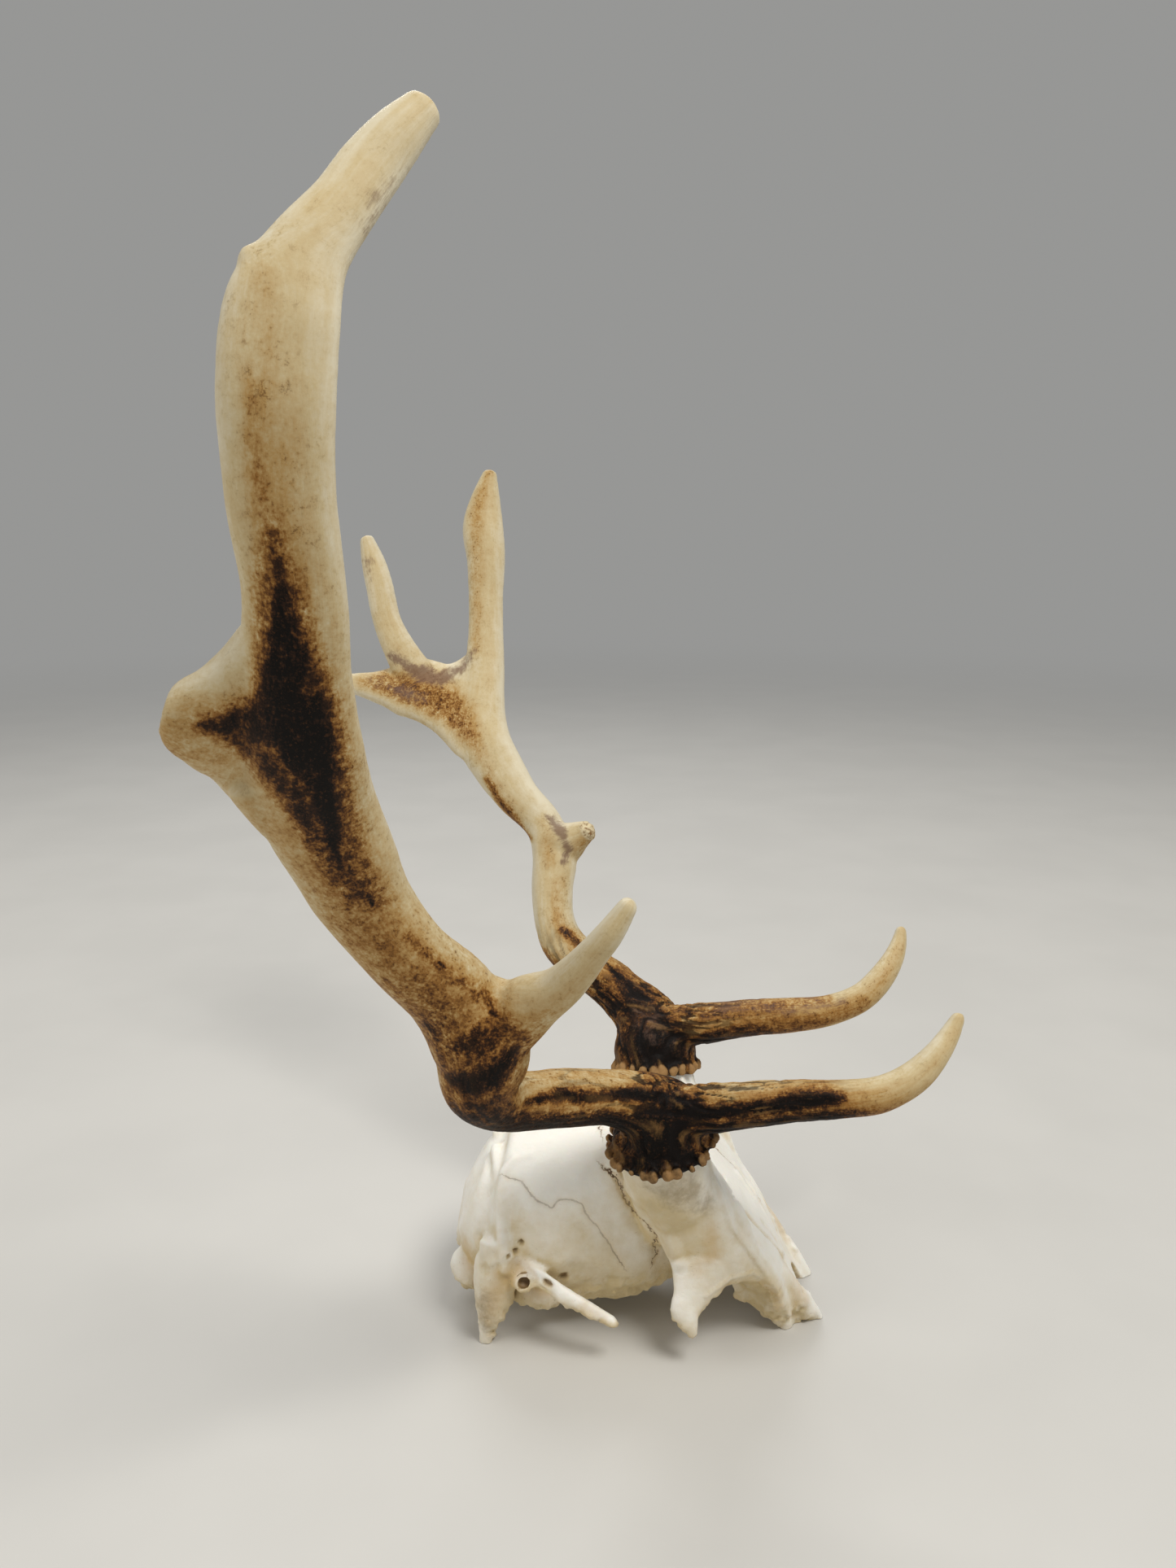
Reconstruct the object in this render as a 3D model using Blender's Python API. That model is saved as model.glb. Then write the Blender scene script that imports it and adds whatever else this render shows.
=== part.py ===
"""Deer skull cap with both antlers, standing on the broken lower points of the bone.

The skull faces +X, its left side is towards +Y and up is +Z.  Each antler is grown as one
smooth body round its beam and tines, and then parted at its main forks, so that every branch
is a solid of its own.  The lists of stations are in millimetres, in a frame whose plane y = 0
is the middle of the skull, and MIDDLE moves them to the middle of the whole object's outline.
"""

import math

import bmesh
import bpy
import numpy as np
from mathutils import Matrix, Vector

# ---------------------------------------------------------------- driving dimensions, in mm

MM = 0.001  # one millimetre in Blender's metres
MIDDLE = (0.1, 9.3)  # x and y of the middle of the outline, seen from the skull's own frame
PARTING_GAP = 0.3  # between two branches at a fork, and between an antler's foot and the skull

ANTLER_VOXEL = 1.5  # grain of the body in which a beam and its tines grow together
SKULL_VOXEL = 1.6
SMOOTHING_ROUNDS = 3  # take the grain off again
STATION_STEP = 4.0  # between the rings of a loft
RING_SIDES = 20  # points round a ring
SHARP_ANGLE = math.radians(50)  # edges keener than this stay crisp where the rest is shaded smooth
RIGHT_ANTLER_FACES = 2300
LEFT_ANTLER_FACES = 2300
SKULL_FACES = 3200

# A station is x, y, z, half the width and half the thickness.  The width is square to ACROSS and
# to the path, or lies along the branch's own upright, and the thickness is square to the width.
ACROSS = (0.0, 1.0, 0.0)
RIGHT_BEAM = (
    (32, -42, 106, 22.0, 21.0),
    (31, -44, 115, 21.0, 20.0),
    (24, -49, 126, 16.0, 15.0),
    (9, -57, 134, 11.8, 11.5),
    (-8, -67, 138, 11.8, 11.3),
    (-23, -79, 143, 11.6, 11.0),
    (-35, -89, 149, 12.5, 11.5),
    (-40, -97, 159, 14.6, 13.0),
    (-38, -101, 175, 19.0, 14.5),
    (-47.5, -106, 197, 16.4, 13.0),
    (-63.5, -119, 220.5, 15.0, 10.8),
    (-74, -127, 240, 16.0, 11.0),
    (-80, -138, 261, 17.8, 11.5),
    (-84, -150, 281, 19.0, 11.7),
    (-84, -162, 299, 18.5, 10.8),
    (-82, -174, 321, 16.3, 9.0),
    (-78.5, -184, 345, 14.3, 7.6),
    (-79, -192, 373, 14.4, 7.3),
    (-77.5, -195, 398, 14.9, 7.3),
    (-75, -193, 417, 14.4, 7.0),
    (-69, -188, 431, 10.4, 6.2),
    (-61, -181, 443, 8.6, 5.8),
    (-55, -175, 453, 8.3, 5.6),
    (-48, -170, 463, 6.8, 5.0),
    (-42, -166, 470, 5.2, 4.0),
)
RIGHT_BROW = (
    (28, -46, 118, 13.0, 12.0),
    (42, -51, 124, 11.0, 10.5),
    (56, -56, 128, 10.0, 9.5),
    (84, -64, 135, 8.6, 8.3),
    (102, -68, 138, 7.7, 7.4),
    (118, -69, 141, 7.3, 6.9),
    (131, -67, 147, 6.7, 6.4),
    (141, -63, 156, 5.2, 5.0),
    (148, -58, 164, 3.8, 3.5),
    (151, -56, 169, 2.6, 2.4),
)
RIGHT_TREZ = (
    (-41, -100, 176, 13.0, 12.0),
    (-31, -103, 186, 13.5, 11.0),
    (-21, -108, 196, 11.5, 9.0),
    (-11, -114, 204, 8.2, 7.8),
    (-4, -120, 213, 6.8, 6.2),
    (2, -125, 222, 5.7, 5.2),
    (8, -128, 231, 4.8, 4.5),
    (14, -129, 241, 3.2, 3.2),
)
RIGHT_REAR = (
    (-91, -159, 309, 37.5, 9.0),
    (-96, -160, 308, 39.5, 9.5),
    (-100, -163, 309.5, 37.8, 9.6),
    (-102, -165, 310, 33.5, 9.4),
    (-105, -166, 309.5, 27.5, 9.0),
    (-108, -168, 309.3, 22.3, 8.5),
    (-111, -170, 309.2, 19.0, 8.0),
    (-114, -171, 310, 15.9, 7.6),
    (-117, -172, 310.5, 13.0, 7.0),
    (-119, -172, 311, 10.3, 6.2),
)
RIGHT_REAR_UPRIGHT = (0.27, -0.5, 0.83)  # the web lies in the plane of the leaning beam
RIGHT_SHOULDER = (  # the blunt corner where the beam bends forward
    (-75, -190, 418, 8.0, 6.0),
    (-80.5, -191, 425, 6.6, 5.5),
    (-83.5, -191, 429.5, 3.4, 3.6),
)
LEFT_BEAM = (
    (34, 41, 99, 20.0, 19.0),
    (33, 44, 109, 20.0, 19.0),
    (29, 51, 119, 16.5, 15.5),
    (20, 59, 127, 12.8, 12.2),
    (8, 68, 135, 11.6, 11.0),
    (-4, 77, 141, 11.2, 10.7),
    (-13, 84, 148, 11.2, 10.6),
    (-18, 92, 160, 10.5, 9.6),
    (-19, 100, 174, 11.0, 9.4),
    (-18, 107, 188, 11.8, 9.0),
    (-22, 113, 201, 10.5, 7.6),
    (-40, 129, 219, 12.3, 7.4),
    (-50, 140, 231, 14.2, 7.8),
    (-59, 152, 245, 15.3, 7.8),
    (-61, 167, 262, 13.4, 7.6),
    (-60, 181, 282, 11.4, 7.0),
    (-60, 197, 318, 10.0, 6.2),
    (-60, 204, 342, 11.3, 6.8),
    (-62, 210, 363, 12.0, 6.8),
    (-60, 215, 381, 8.0, 5.0),
    (-58, 218, 393, 4.0, 3.4),
)
LEFT_BROW = (
    (30, 44, 114, 13.0, 12.0),
    (45, 41, 120, 11.0, 10.5),
    (61, 38, 124, 9.8, 9.2),
    (78, 36, 127, 9.0, 8.4),
    (100, 33, 130, 8.3, 8.0),
    (119, 33, 133, 7.4, 7.0),
    (134, 35, 139, 6.8, 6.5),
    (144, 40, 147, 6.2, 5.9),
    (151, 46, 155, 5.0, 4.8),
    (155, 52, 163, 3.4, 3.2),
    (156, 54, 167, 2.5, 2.4),
)
LEFT_TREZ = (
    (-20, 111, 192, 13.0, 9.0),
    (-11, 108, 197, 11.5, 8.5),
    (-5, 106, 201, 8.0, 6.4),
    (1, 104, 205, 5.2, 4.6),
)
LEFT_REAR = (
    (-68, 167, 261.5, 36.5, 6.5),
    (-71, 168, 261, 34.5, 7.0),
    (-76, 170, 260.5, 30.5, 7.4),
    (-82, 172, 262.5, 25.6, 7.4),
    (-88, 175, 265.5, 23.3, 7.2),
    (-96, 178, 268.5, 21.5, 7.0),
    (-103, 181, 269, 19.4, 6.8),
    (-111, 183, 268.5, 16.6, 6.5),
    (-118, 185, 269, 13.0, 6.1),
    (-126, 187, 269.5, 10.0, 5.4),
    (-136, 190, 270.5, 7.4, 4.6),
    (-148, 194, 271, 5.0, 3.6),
    (-157, 196, 271, 2.9, 2.6),
)
LEFT_REAR_UPRIGHT = (0.0, 0.62, 0.79)
LEFT_REAR_TINE = (
    (-101, 183, 276, 12.0, 6.1),
    (-110, 188, 291, 9.8, 5.4),
    (-118, 194, 307, 8.4, 5.0),
    (-123, 200, 328, 8.3, 5.0),
    (-127, 205, 342, 7.2, 4.8),
    (-131, 209, 355, 4.2, 3.6),
)

# A burr is the knobbly ring at an antler's foot: the middle of its underside, which way the
# pedicle leans, the reach of its pearls, and how many pearls stand round it.
RIGHT_BURR = dict(foot=(32, -42, 102), lean=(-0.18, -0.14, 1.0), reach=24.5, pearls=19)
LEFT_BURR = dict(foot=(34, 41, 96), lean=(0.0, 0.34, 1.0), reach=22.5, pearls=20)
COLLAR = ((-3.0, 0.80), (1.0, 0.86), (4.0, 0.86), (8.0, 0.78), (13.0, 0.66))  # height, share of reach
PEARL_RADIUS = 3.6
PEARL_SIZES = (0.75, 1.15)  # smallest and largest, as shares of that radius
PEARL_TALLNESS = 1.3
PEARL_STRAY = 0.2  # out of its even place round the ring, as a share of the spacing
PEARL_HEIGHTS = (2.2, 3.6)  # of a pearl's middle over the foot
PEARL_SEED = 7

# A fork is the name of the branch that leaves, the branch it leaves, a point on the parting
# plane, the way the branch goes, and the half width and the reach of the block that takes it.
RIGHT_FORKS = (
    ("right_brow_tine", "right_lower_beam", (58, -57, 128), (1.0, -0.2, 0.2), 34, 120),
    ("right_trez_tine", "right_lower_beam", (-18, -109, 199), (0.57, -0.36, 0.74), 16, 70),
    ("right_upper_beam", "right_lower_beam", (-58, -115, 214), (-0.55, -0.45, 0.7), 200, 400),
    ("right_rear_tine", "right_upper_beam", (-99, -162, 308), (-1.0, -0.1, 0.05), 60, 60),
)
LEFT_FORKS = (
    ("left_brow_tine", "left_lower_beam", (60, 38, 124), (1.0, -0.05, 0.1), 36, 120),
    ("left_trez_tine", "left_lower_beam", (-13, 110, 196), (0.85, -0.35, 0.4), 18, 30),
    ("left_upper_beam", "left_lower_beam", (-28, 119, 207), (-0.5, 0.5, 0.6), 200, 400),
    ("left_rear_branch", "left_upper_beam", (-84, 173, 262), (-1.0, 0.1, -0.05), 110, 130),
    ("left_rear_tine", "left_rear_branch", (-107, 187, 288), (-0.2, 0.3, 0.93), 26, 100),
)

# The skull's lofts are stations too: a is the half size along x and z, b the half size across.
BRAINCASE = (
    (-54, 0, 59, 20, 20),
    (-46, 0, 56, 31, 30),
    (-30, 0, 54, 39, 36),
    (-8, 0, 53, 43, 37),
    (15, 0, 54, 44, 34),
    (34, 0, 57, 39, 29),
    (48, 0, 59, 29, 25),
    (58, 0, 61, 18, 20),
)
FOREHEAD = (
    (30, 0, 88, 10, 30),
    (42, 0, 74, 15, 38),
    (56, 0, 53, 19, 43),
    (73, 0, 38, 13, 40),
    (86, 0, 20, 9, 30),
    (96, 0, 5, 7, 22),
    (103, 0, -6, 6, 20),
)
# These are on the right side, and the left side mirrors them.
PEDICLE = (  # the bony stalk that an antler stands on
    (46, -28, 56, 20, 13),
    (41, -32, 70, 20, 16),
    (36, -37, 84, 19, 17.5),
    (31, -42, 100, 18.5, 18),
    (29, -44, 112, 18.5, 18),
)
CREST = (  # behind the temple, down towards the ear
    (-43, -6, 82, 4, 4),
    (-41, -20, 76, 4, 4),
    (-40, -29, 66, 4, 4),
    (-38, -35, 52, 4, 4),
    (-36, -37, 38, 5, 4),
)
CONDYLE = ((-61, -13, 30, 6, 4), (-55, -13, 26, 12, 9), (-46, -12, 26, 13, 9))
EAR_SWELLING = ((-32, -25, 24, 7, 6), (-21, -26, 21, 9, 8), (-8, -22, 24, 6, 6))
EAR_TUBE = ((-30, -30, 34, 7, 7), (-28, -41, 35, 5, 5))
SOCKET_SIDE_WALL = (  # from the pedicle's foot down to the rim of the eye socket
    (34, -36, 90, 17, 12),
    (42, -38, 74, 20, 10),
    (54, -39.5, 56, 20, 6.5),
    (66, -39, 42, 14, 5),
)
SOCKET_INNER_WALL = ((64, -21.5, 32, 15, 3), (78, -22, 23, 13, 3), (92, -22, 8, 9, 3))
LONG_FRONT_POINT = (
    (84, -23, 27, 8, 5),
    (95, -21, 14, 6.5, 4.5),
    (103, -18, 5, 5, 4),
    (109, -16, -3, 3.4, 3),
)
SHORT_FRONT_POINT = ((82, -25, 20, 8, 4), (88, -24, 9, 6, 3.4), (93, -22, -4, 3.2, 3))
SIDE_LOFTS = (
    PEDICLE,
    CREST,
    CONDYLE,
    EAR_SWELLING,
    EAR_TUBE,
    SOCKET_SIDE_WALL,
    SOCKET_INNER_WALL,
    LONG_FRONT_POINT,
    SHORT_FRONT_POINT,
)
# Thin points, set on once the hollows are cut.
NECK_POINT = (  # beside the condyle, down to the ground
    (-40, -31, 50, 9, 6),
    (-42, -33, 32, 10, 5),
    (-44, -34, 16, 7, 4),
    (-46, -33, 5, 4, 3),
    (-47, -33, -4, 2.6, 2.6),
)
BROKEN_CHEEK_BONE = (
    (-32, -35, 37, 7, 5),
    (-24, -39, 36, 5, 4),
    (-12, -44, 31, 3.6, 3),
    (0, -47, 26.5, 3, 2.6),
    (12, -48, 21, 2, 2),
)
POINT_BEHIND_SOCKET = (
    (48, -40, 48, 14, 7),
    (48, -44, 38, 10, 5.5),
    (46, -47, 30, 8.5, 4.5),
    (44.5, -49, 23, 6, 3.6),
    (45, -50, 16, 2.8, 2.8),
)
SIDE_POINTS = (NECK_POINT, BROKEN_CHEEK_BONE, POINT_BEHIND_SOCKET)

ORBIT = dict(middle=(69, 48, 8), radii=(21, 25, 29))
NERVE_HOLE = dict(middle=(-64, 0, 29), radii=(18, 8.5, 9.5))
NOSE_HOLLOW = (  # x and z, drawn out sideways to NOSE_HALF_WIDTH
    (50, -20),
    (50, 30),
    (56, 50),
    (63, 56),
    (71, 47),
    (81, 31),
    (91, 11),
    (97, 0),
    (102, -12),
    (102, -20),
)
NOSE_HALF_WIDTH = 19
UNDERCUT = (  # between the eye sockets, right across the skull
    (90, -8),
    (89, 1),
    (84, 5),
    (69, 12),
    (66, 22),
    (64, 34),
    (52, 34),
    (40, 22),
    (40, -8),
)
FRONT_NOTCH = ((97, -8), (100.5, 7), (103, -8))
FULL_HALF_WIDTH = 60
NOSE_NOTCH = dict(middle=(104, 0, -4), radii=(16, 12, 20))


# ---------------------------------------------------------------- scene and materials


def clear_scene():
    for thing in list(bpy.data.objects):
        bpy.data.objects.remove(thing, do_unlink=True)


def finish(name, colour, roughness):
    material = bpy.data.materials.new(name)
    material.use_nodes = True
    shader = material.node_tree.nodes["Principled BSDF"]
    shader.inputs["Base Color"].default_value = (*colour, 1.0)
    shader.inputs["Roughness"].default_value = roughness
    shader.inputs["Metallic"].default_value = 0.0
    return material


def object_of(name, mesh, material=None):
    thing = bpy.data.objects.new(name, mesh)
    bpy.context.scene.collection.objects.link(thing)
    if material:
        mesh.materials.clear()
        mesh.materials.append(material)
    return thing


def cutter_of(name, mesh):
    thing = object_of(name, mesh)
    thing.hide_render = True
    thing.display_type = "WIRE"
    return thing


# ---------------------------------------------------------------- lofts


def smooth_stations(rows, step=STATION_STEP):
    """Rows read from a smooth curve through the stations, about a step apart."""
    rows = np.array(rows, float)
    gaps = np.linalg.norm(np.diff(rows[:, :3], axis=0), axis=1)
    along = np.concatenate([[0.0], np.cumsum(gaps)])
    slopes = np.gradient(rows, along, axis=0)
    wanted = np.linspace(0.0, along[-1], max(2, math.ceil(along[-1] / step)) + 1)
    left = np.clip(np.searchsorted(along, wanted, side="right") - 1, 0, len(gaps) - 1)
    span = gaps[left][:, None]
    t = (wanted - along[left])[:, None] / span
    return (
        (2 * t**3 - 3 * t**2 + 1) * rows[left]
        + (t**3 - 2 * t**2 + t) * span * slopes[left]
        + (3 * t**2 - 2 * t**3) * rows[left + 1]
        + (t**3 - t**2) * span * slopes[left + 1]
    )


def add_loft(bm, rows, upright=None, squareness=2.0, dome=0.6):
    """A closed body through the stations: oval rings, bridged, with a domed cap at each end."""
    rows = smooth_stations(rows)
    tangents = np.gradient(rows[:, :3], axis=0)
    turns = np.linspace(0.0, 2 * math.pi, RING_SIDES, endpoint=False)
    cosines = np.sign(np.cos(turns)) * np.abs(np.cos(turns)) ** (2 / squareness)
    sines = np.sign(np.sin(turns)) * np.abs(np.sin(turns)) ** (2 / squareness)
    rings = []
    for row, tangent in zip(rows, tangents):
        tangent = Vector(tangent).normalized()
        wide = (Vector(upright) if upright else tangent.cross(Vector(ACROSS))).normalized()
        thick = wide.cross(tangent).normalized()
        middle = Vector(row[:3])
        rings.append([
            bm.verts.new((middle + wide * (c * row[3]) + thick * (s * row[4])) * MM)
            for c, s in zip(cosines, sines)
        ])
    for below, above in zip(rings, rings[1:]):
        for i in range(RING_SIDES):
            j = (i + 1) % RING_SIDES
            bm.faces.new((below[i], below[j], above[j], above[i]))
    for end, way in ((0, -1), (-1, 1)):
        ring = rings[end]
        rise = way * dome * min(rows[end][3:])
        pole = bm.verts.new((Vector(rows[end][:3]) + Vector(tangents[end]).normalized() * rise) * MM)
        for i in range(RING_SIDES):
            j = (i + 1) % RING_SIDES
            bm.faces.new((ring[j], ring[i], pole) if way < 0 else (ring[i], ring[j], pole))


def add_ball(bm, middle, radii, fineness=3):
    place = Matrix.Translation(Vector(middle) * MM) @ Matrix.Diagonal((*(Vector(radii) * MM), 1.0))
    bmesh.ops.create_icosphere(bm, subdivisions=fineness, radius=1.0, matrix=place)


def mirrored(rows):
    return tuple((x, -y, z, *sizes) for x, y, z, *sizes in rows)


def mesh_from(name, bm):
    bmesh.ops.recalc_face_normals(bm, faces=bm.faces)
    mesh = bpy.data.meshes.new(name)
    bm.to_mesh(mesh)
    bm.free()
    return mesh


def evaluated_mesh(thing, name):
    """The mesh that an object's modifiers give, as a mesh of its own; the object is removed."""
    bpy.context.view_layer.update()
    graph = bpy.context.evaluated_depsgraph_get()
    mesh = bpy.data.meshes.new_from_object(thing.evaluated_get(graph))
    mesh.name = name
    bpy.data.objects.remove(thing, do_unlink=True)
    return mesh


def grown_together(name, mesh, voxel, faces):
    """Overlapping closed shapes become one smooth skin with about the given number of faces."""
    thing = object_of(name, mesh)
    remesh = thing.modifiers.new("grow together", "REMESH")
    remesh.mode = "VOXEL"
    remesh.voxel_size = voxel * MM
    smooth = thing.modifiers.new("even out", "SMOOTH")
    smooth.factor = 0.5
    smooth.iterations = SMOOTHING_ROUNDS
    grown = evaluated_mesh(thing, name)
    thing = object_of(name, grown)
    thinned = thing.modifiers.new("thin out", "DECIMATE")
    thinned.ratio = faces / (2 * len(grown.polygons))
    thinned.use_collapse_triangulate = True
    return evaluated_mesh(thing, name)


def shaded_smooth(mesh):
    mesh.shade_smooth()
    mesh.set_sharp_from_angle(angle=SHARP_ANGLE)


# ---------------------------------------------------------------- cutting


def block_mesh(name, point, way, half_width, reach):
    """A block whose near face lies on a parting plane and which reaches along a branch."""
    turn = Vector(way).to_track_quat("Z", "Y").to_matrix().to_4x4()
    size = Matrix.Diagonal((2 * half_width, 2 * half_width, reach, 1.0))
    lift = Matrix.Translation((0, 0, reach / 2))
    place = Matrix.Scale(MM, 4) @ Matrix.Translation(point) @ turn @ lift @ size
    bm = bmesh.new()
    bmesh.ops.create_cube(bm, size=1.0, matrix=place)
    return mesh_from(name, bm)


def sheared_off(mesh, point, way):
    """Everything behind a plane is cut away, and the cut closed with a flat face."""
    bm = bmesh.new()
    bm.from_mesh(mesh)
    whole = bm.verts[:] + bm.edges[:] + bm.faces[:]
    cut = bmesh.ops.bisect_plane(
        bm, geom=whole, dist=1e-7, plane_co=Vector(point) * MM, plane_no=Vector(way), clear_inner=True
    )
    rim = [edge for edge in cut["geom_cut"] if isinstance(edge, bmesh.types.BMEdge)]
    bmesh.ops.holes_fill(bm, edges=rim)
    bmesh.ops.recalc_face_normals(bm, faces=bm.faces)
    bm.to_mesh(mesh)
    bm.free()


def outline_mesh(name, outline, half_width):
    """An outline in x and z, drawn out sideways to both sides of the middle."""
    bm = bmesh.new()
    corners = [bm.verts.new(Vector((x, -half_width, z)) * MM) for x, z in outline]
    face = bm.faces.new(corners)
    drawn = bmesh.ops.extrude_face_region(bm, geom=[face])
    moved = [vert for vert in drawn["geom"] if isinstance(vert, bmesh.types.BMVert)]
    bmesh.ops.translate(bm, verts=moved, vec=(0, 2 * half_width * MM, 0))
    return mesh_from(name, bm)


def cut_by(thing, cutter, operation):
    step = thing.modifiers.new(f"{operation.lower()} {cutter.name}", "BOOLEAN")
    step.operation = operation
    step.solver = "EXACT"
    step.object = cutter


# ---------------------------------------------------------------- antlers


def add_burr(bm, foot, lean, reach, pearls):
    """A low collar and, round its edge, pearls of uneven size."""
    axis = Vector(lean).normalized()
    across = axis.orthogonal().normalized()
    foot = Vector(foot)
    collar = [(*(foot + axis * height), reach * share, reach * share) for height, share in COLLAR]
    add_loft(bm, collar)
    uneven = np.random.default_rng(PEARL_SEED)
    for i in range(pearls):
        place_round = (i + uneven.uniform(-PEARL_STRAY, PEARL_STRAY)) / pearls
        turn = Matrix.Rotation(2 * math.pi * place_round, 3, axis)
        size = PEARL_RADIUS * uneven.uniform(*PEARL_SIZES)
        out = (turn @ across) * (reach - size)
        middle = foot + out + axis * uneven.uniform(*PEARL_HEIGHTS)
        add_ball(bm, middle, (size, size, size * PEARL_TALLNESS), fineness=2)


def make_antler(side, branches, burr, forks, faces, material):
    bm = bmesh.new()
    for rows, upright in branches:
        add_loft(bm, rows, upright)
    add_burr(bm, **burr)
    body = grown_together(f"{side}_antler_body", mesh_from("grown", bm), ANTLER_VOXEL, faces)
    lean = Vector(burr["lean"]).normalized()
    sheared_off(body, Vector(burr["foot"]) + lean * PARTING_GAP, lean)
    shaded_smooth(body)
    trunk = f"{side}_lower_beam"
    branches_made = {trunk: object_of(trunk, body, material)}
    for name, parent, point, way, half_width, reach in forks:
        way = Vector(way).normalized()
        block = cutter_of(f"{name}_block", block_mesh(name, point, way, half_width, reach))
        moved = Vector(point) + way * PARTING_GAP
        beyond = cutter_of(f"{name}_space", block_mesh(name, moved, way, half_width, reach))
        branch = branches_made[parent].copy()
        branch.name = name
        bpy.context.scene.collection.objects.link(branch)
        cut_by(branch, beyond, "INTERSECT")
        cut_by(branches_made[parent], block, "DIFFERENCE")
        branches_made[name] = branch
    return branches_made


# ---------------------------------------------------------------- skull


def make_skull(material):
    bm = bmesh.new()
    add_loft(bm, BRAINCASE, squareness=2.7, dome=0.2)
    add_loft(bm, FOREHEAD, squareness=3.2, dome=0.2)
    for rows in SIDE_LOFTS:
        add_loft(bm, rows)
        add_loft(bm, mirrored(rows))
    core = object_of("skull core", mesh_from("skull core", bm))
    remesh = core.modifiers.new("grow together", "REMESH")
    remesh.mode = "VOXEL"
    remesh.voxel_size = SKULL_VOXEL * MM
    cutters = [
        outline_mesh("nose hollow", NOSE_HOLLOW, NOSE_HALF_WIDTH),
        outline_mesh("undercut", UNDERCUT, FULL_HALF_WIDTH),
        outline_mesh("front notch", FRONT_NOTCH, FULL_HALF_WIDTH),
    ]
    for side in (-1, 1):
        x, y, z = ORBIT["middle"]
        ball = bmesh.new()
        add_ball(ball, (x, side * y, z), ORBIT["radii"])
        cutters.append(mesh_from("orbit", ball))
    for hole in (NERVE_HOLE, NOSE_NOTCH):
        ball = bmesh.new()
        add_ball(ball, hole["middle"], hole["radii"])
        cutters.append(mesh_from("hole", ball))
    for mesh in cutters:
        cut_by(core, cutter_of(mesh.name, mesh), "DIFFERENCE")
    hollowed = evaluated_mesh(core, "hollowed core")
    bm = bmesh.new()
    bm.from_mesh(hollowed)
    for rows in SIDE_POINTS:
        add_loft(bm, rows)
        add_loft(bm, mirrored(rows))
    mesh = bpy.data.meshes.new("skull")
    bm.to_mesh(mesh)
    bm.free()
    mesh = grown_together("skull", mesh, SKULL_VOXEL, SKULL_FACES)
    for burr in (RIGHT_BURR, LEFT_BURR):
        sheared_off(mesh, burr["foot"], -Vector(burr["lean"]).normalized())
    sheared_off(mesh, (0, 0, 0), (0, 0, 1))
    shaded_smooth(mesh)
    return object_of("skull", mesh, material)


def main():
    clear_scene()
    horn = finish("antler", (0.48, 0.33, 0.17), 0.5)
    bone = finish("bone", (0.80, 0.75, 0.62), 0.6)
    right = (
        (RIGHT_BEAM, None),
        (RIGHT_BROW, None),
        (RIGHT_TREZ, None),
        (RIGHT_REAR, RIGHT_REAR_UPRIGHT),
        (RIGHT_SHOULDER, None),
    )
    left = (
        (LEFT_BEAM, None),
        (LEFT_BROW, None),
        (LEFT_TREZ, None),
        (LEFT_REAR, LEFT_REAR_UPRIGHT),
        (LEFT_REAR_TINE, None),
    )
    make_antler("right", right, RIGHT_BURR, RIGHT_FORKS, RIGHT_ANTLER_FACES, horn)
    make_antler("left", left, LEFT_BURR, LEFT_FORKS, LEFT_ANTLER_FACES, horn)
    make_skull(bone)
    for thing in bpy.data.objects:
        thing.location = Vector((-MIDDLE[0], -MIDDLE[1], 0.0)) * MM


main()
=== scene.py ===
import math

import bmesh
import bpy
import numpy as np
from mathutils import Matrix, Vector
from mathutils.bvhtree import BVHTree


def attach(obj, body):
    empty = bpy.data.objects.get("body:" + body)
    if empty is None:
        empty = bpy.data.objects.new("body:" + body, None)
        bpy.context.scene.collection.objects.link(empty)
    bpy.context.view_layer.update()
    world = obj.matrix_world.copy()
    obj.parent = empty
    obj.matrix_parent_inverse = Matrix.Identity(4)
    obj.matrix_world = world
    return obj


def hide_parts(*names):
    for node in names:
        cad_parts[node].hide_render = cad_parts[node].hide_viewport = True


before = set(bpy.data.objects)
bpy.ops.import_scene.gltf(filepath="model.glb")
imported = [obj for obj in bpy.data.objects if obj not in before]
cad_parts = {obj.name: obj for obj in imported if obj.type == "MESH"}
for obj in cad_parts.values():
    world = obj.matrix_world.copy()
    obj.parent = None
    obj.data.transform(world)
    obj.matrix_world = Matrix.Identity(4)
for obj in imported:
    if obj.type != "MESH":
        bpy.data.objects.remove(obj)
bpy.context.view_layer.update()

# Shapes are made in millimetres in the skull's own frame: nose to +x, left side to +y, table at
# z = 0. The last step of each piece takes it into the part's frame, in metres.
mm = 0.001
middle = (0.1, 9.3, 0.0)  # the middle of the whole outline, seen from the skull's mid-plane
sideways = (0.0, 1.0, 0.0)

photoView = {
    "width": 1445,  # px
    "height": 1927,
    "focal": 1447.0,  # px
    "place": (0.0, -502.5, 365.0),  # mm, in the skull's frame
    "downwards": 12.6,  # degrees
    "filmWidth": 36.0,  # mm
    "nearest": 0.01,  # m, what the camera still shows
    "searched": (300, 900, 10),  # mm from the camera, for a pixel just beside the shape
}
overhead = 600.0  # mm, above everything


def photoRay(x, y):
    # the way that a pixel of the photograph looks
    right = (x - photoView["width"] / 2) / photoView["focal"]
    down = (y - photoView["height"] / 2) / photoView["focal"]
    tilt = math.radians(photoView["downwards"])
    ahead = math.cos(tilt) - math.sin(tilt) * down
    return Vector((right, ahead, -math.sin(tilt) - math.cos(tilt) * down)).normalized()


def onSurface(tree, pixels):
    # where pixels of the photograph lie on a shape; the last number of each row is kept
    eye = Vector(photoView["place"])
    found = []
    for x, y, *rest in pixels:
        way = photoRay(x, y)
        hit = tree.ray_cast(eye, way)[0]
        if hit is None:
            steps = [tree.find_nearest(eye + way * far) for far in range(*photoView["searched"])]
            hit = min(steps, key=lambda near: near[3])[0]
        found.append((*hit, *rest))
    return np.array(found)


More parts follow.
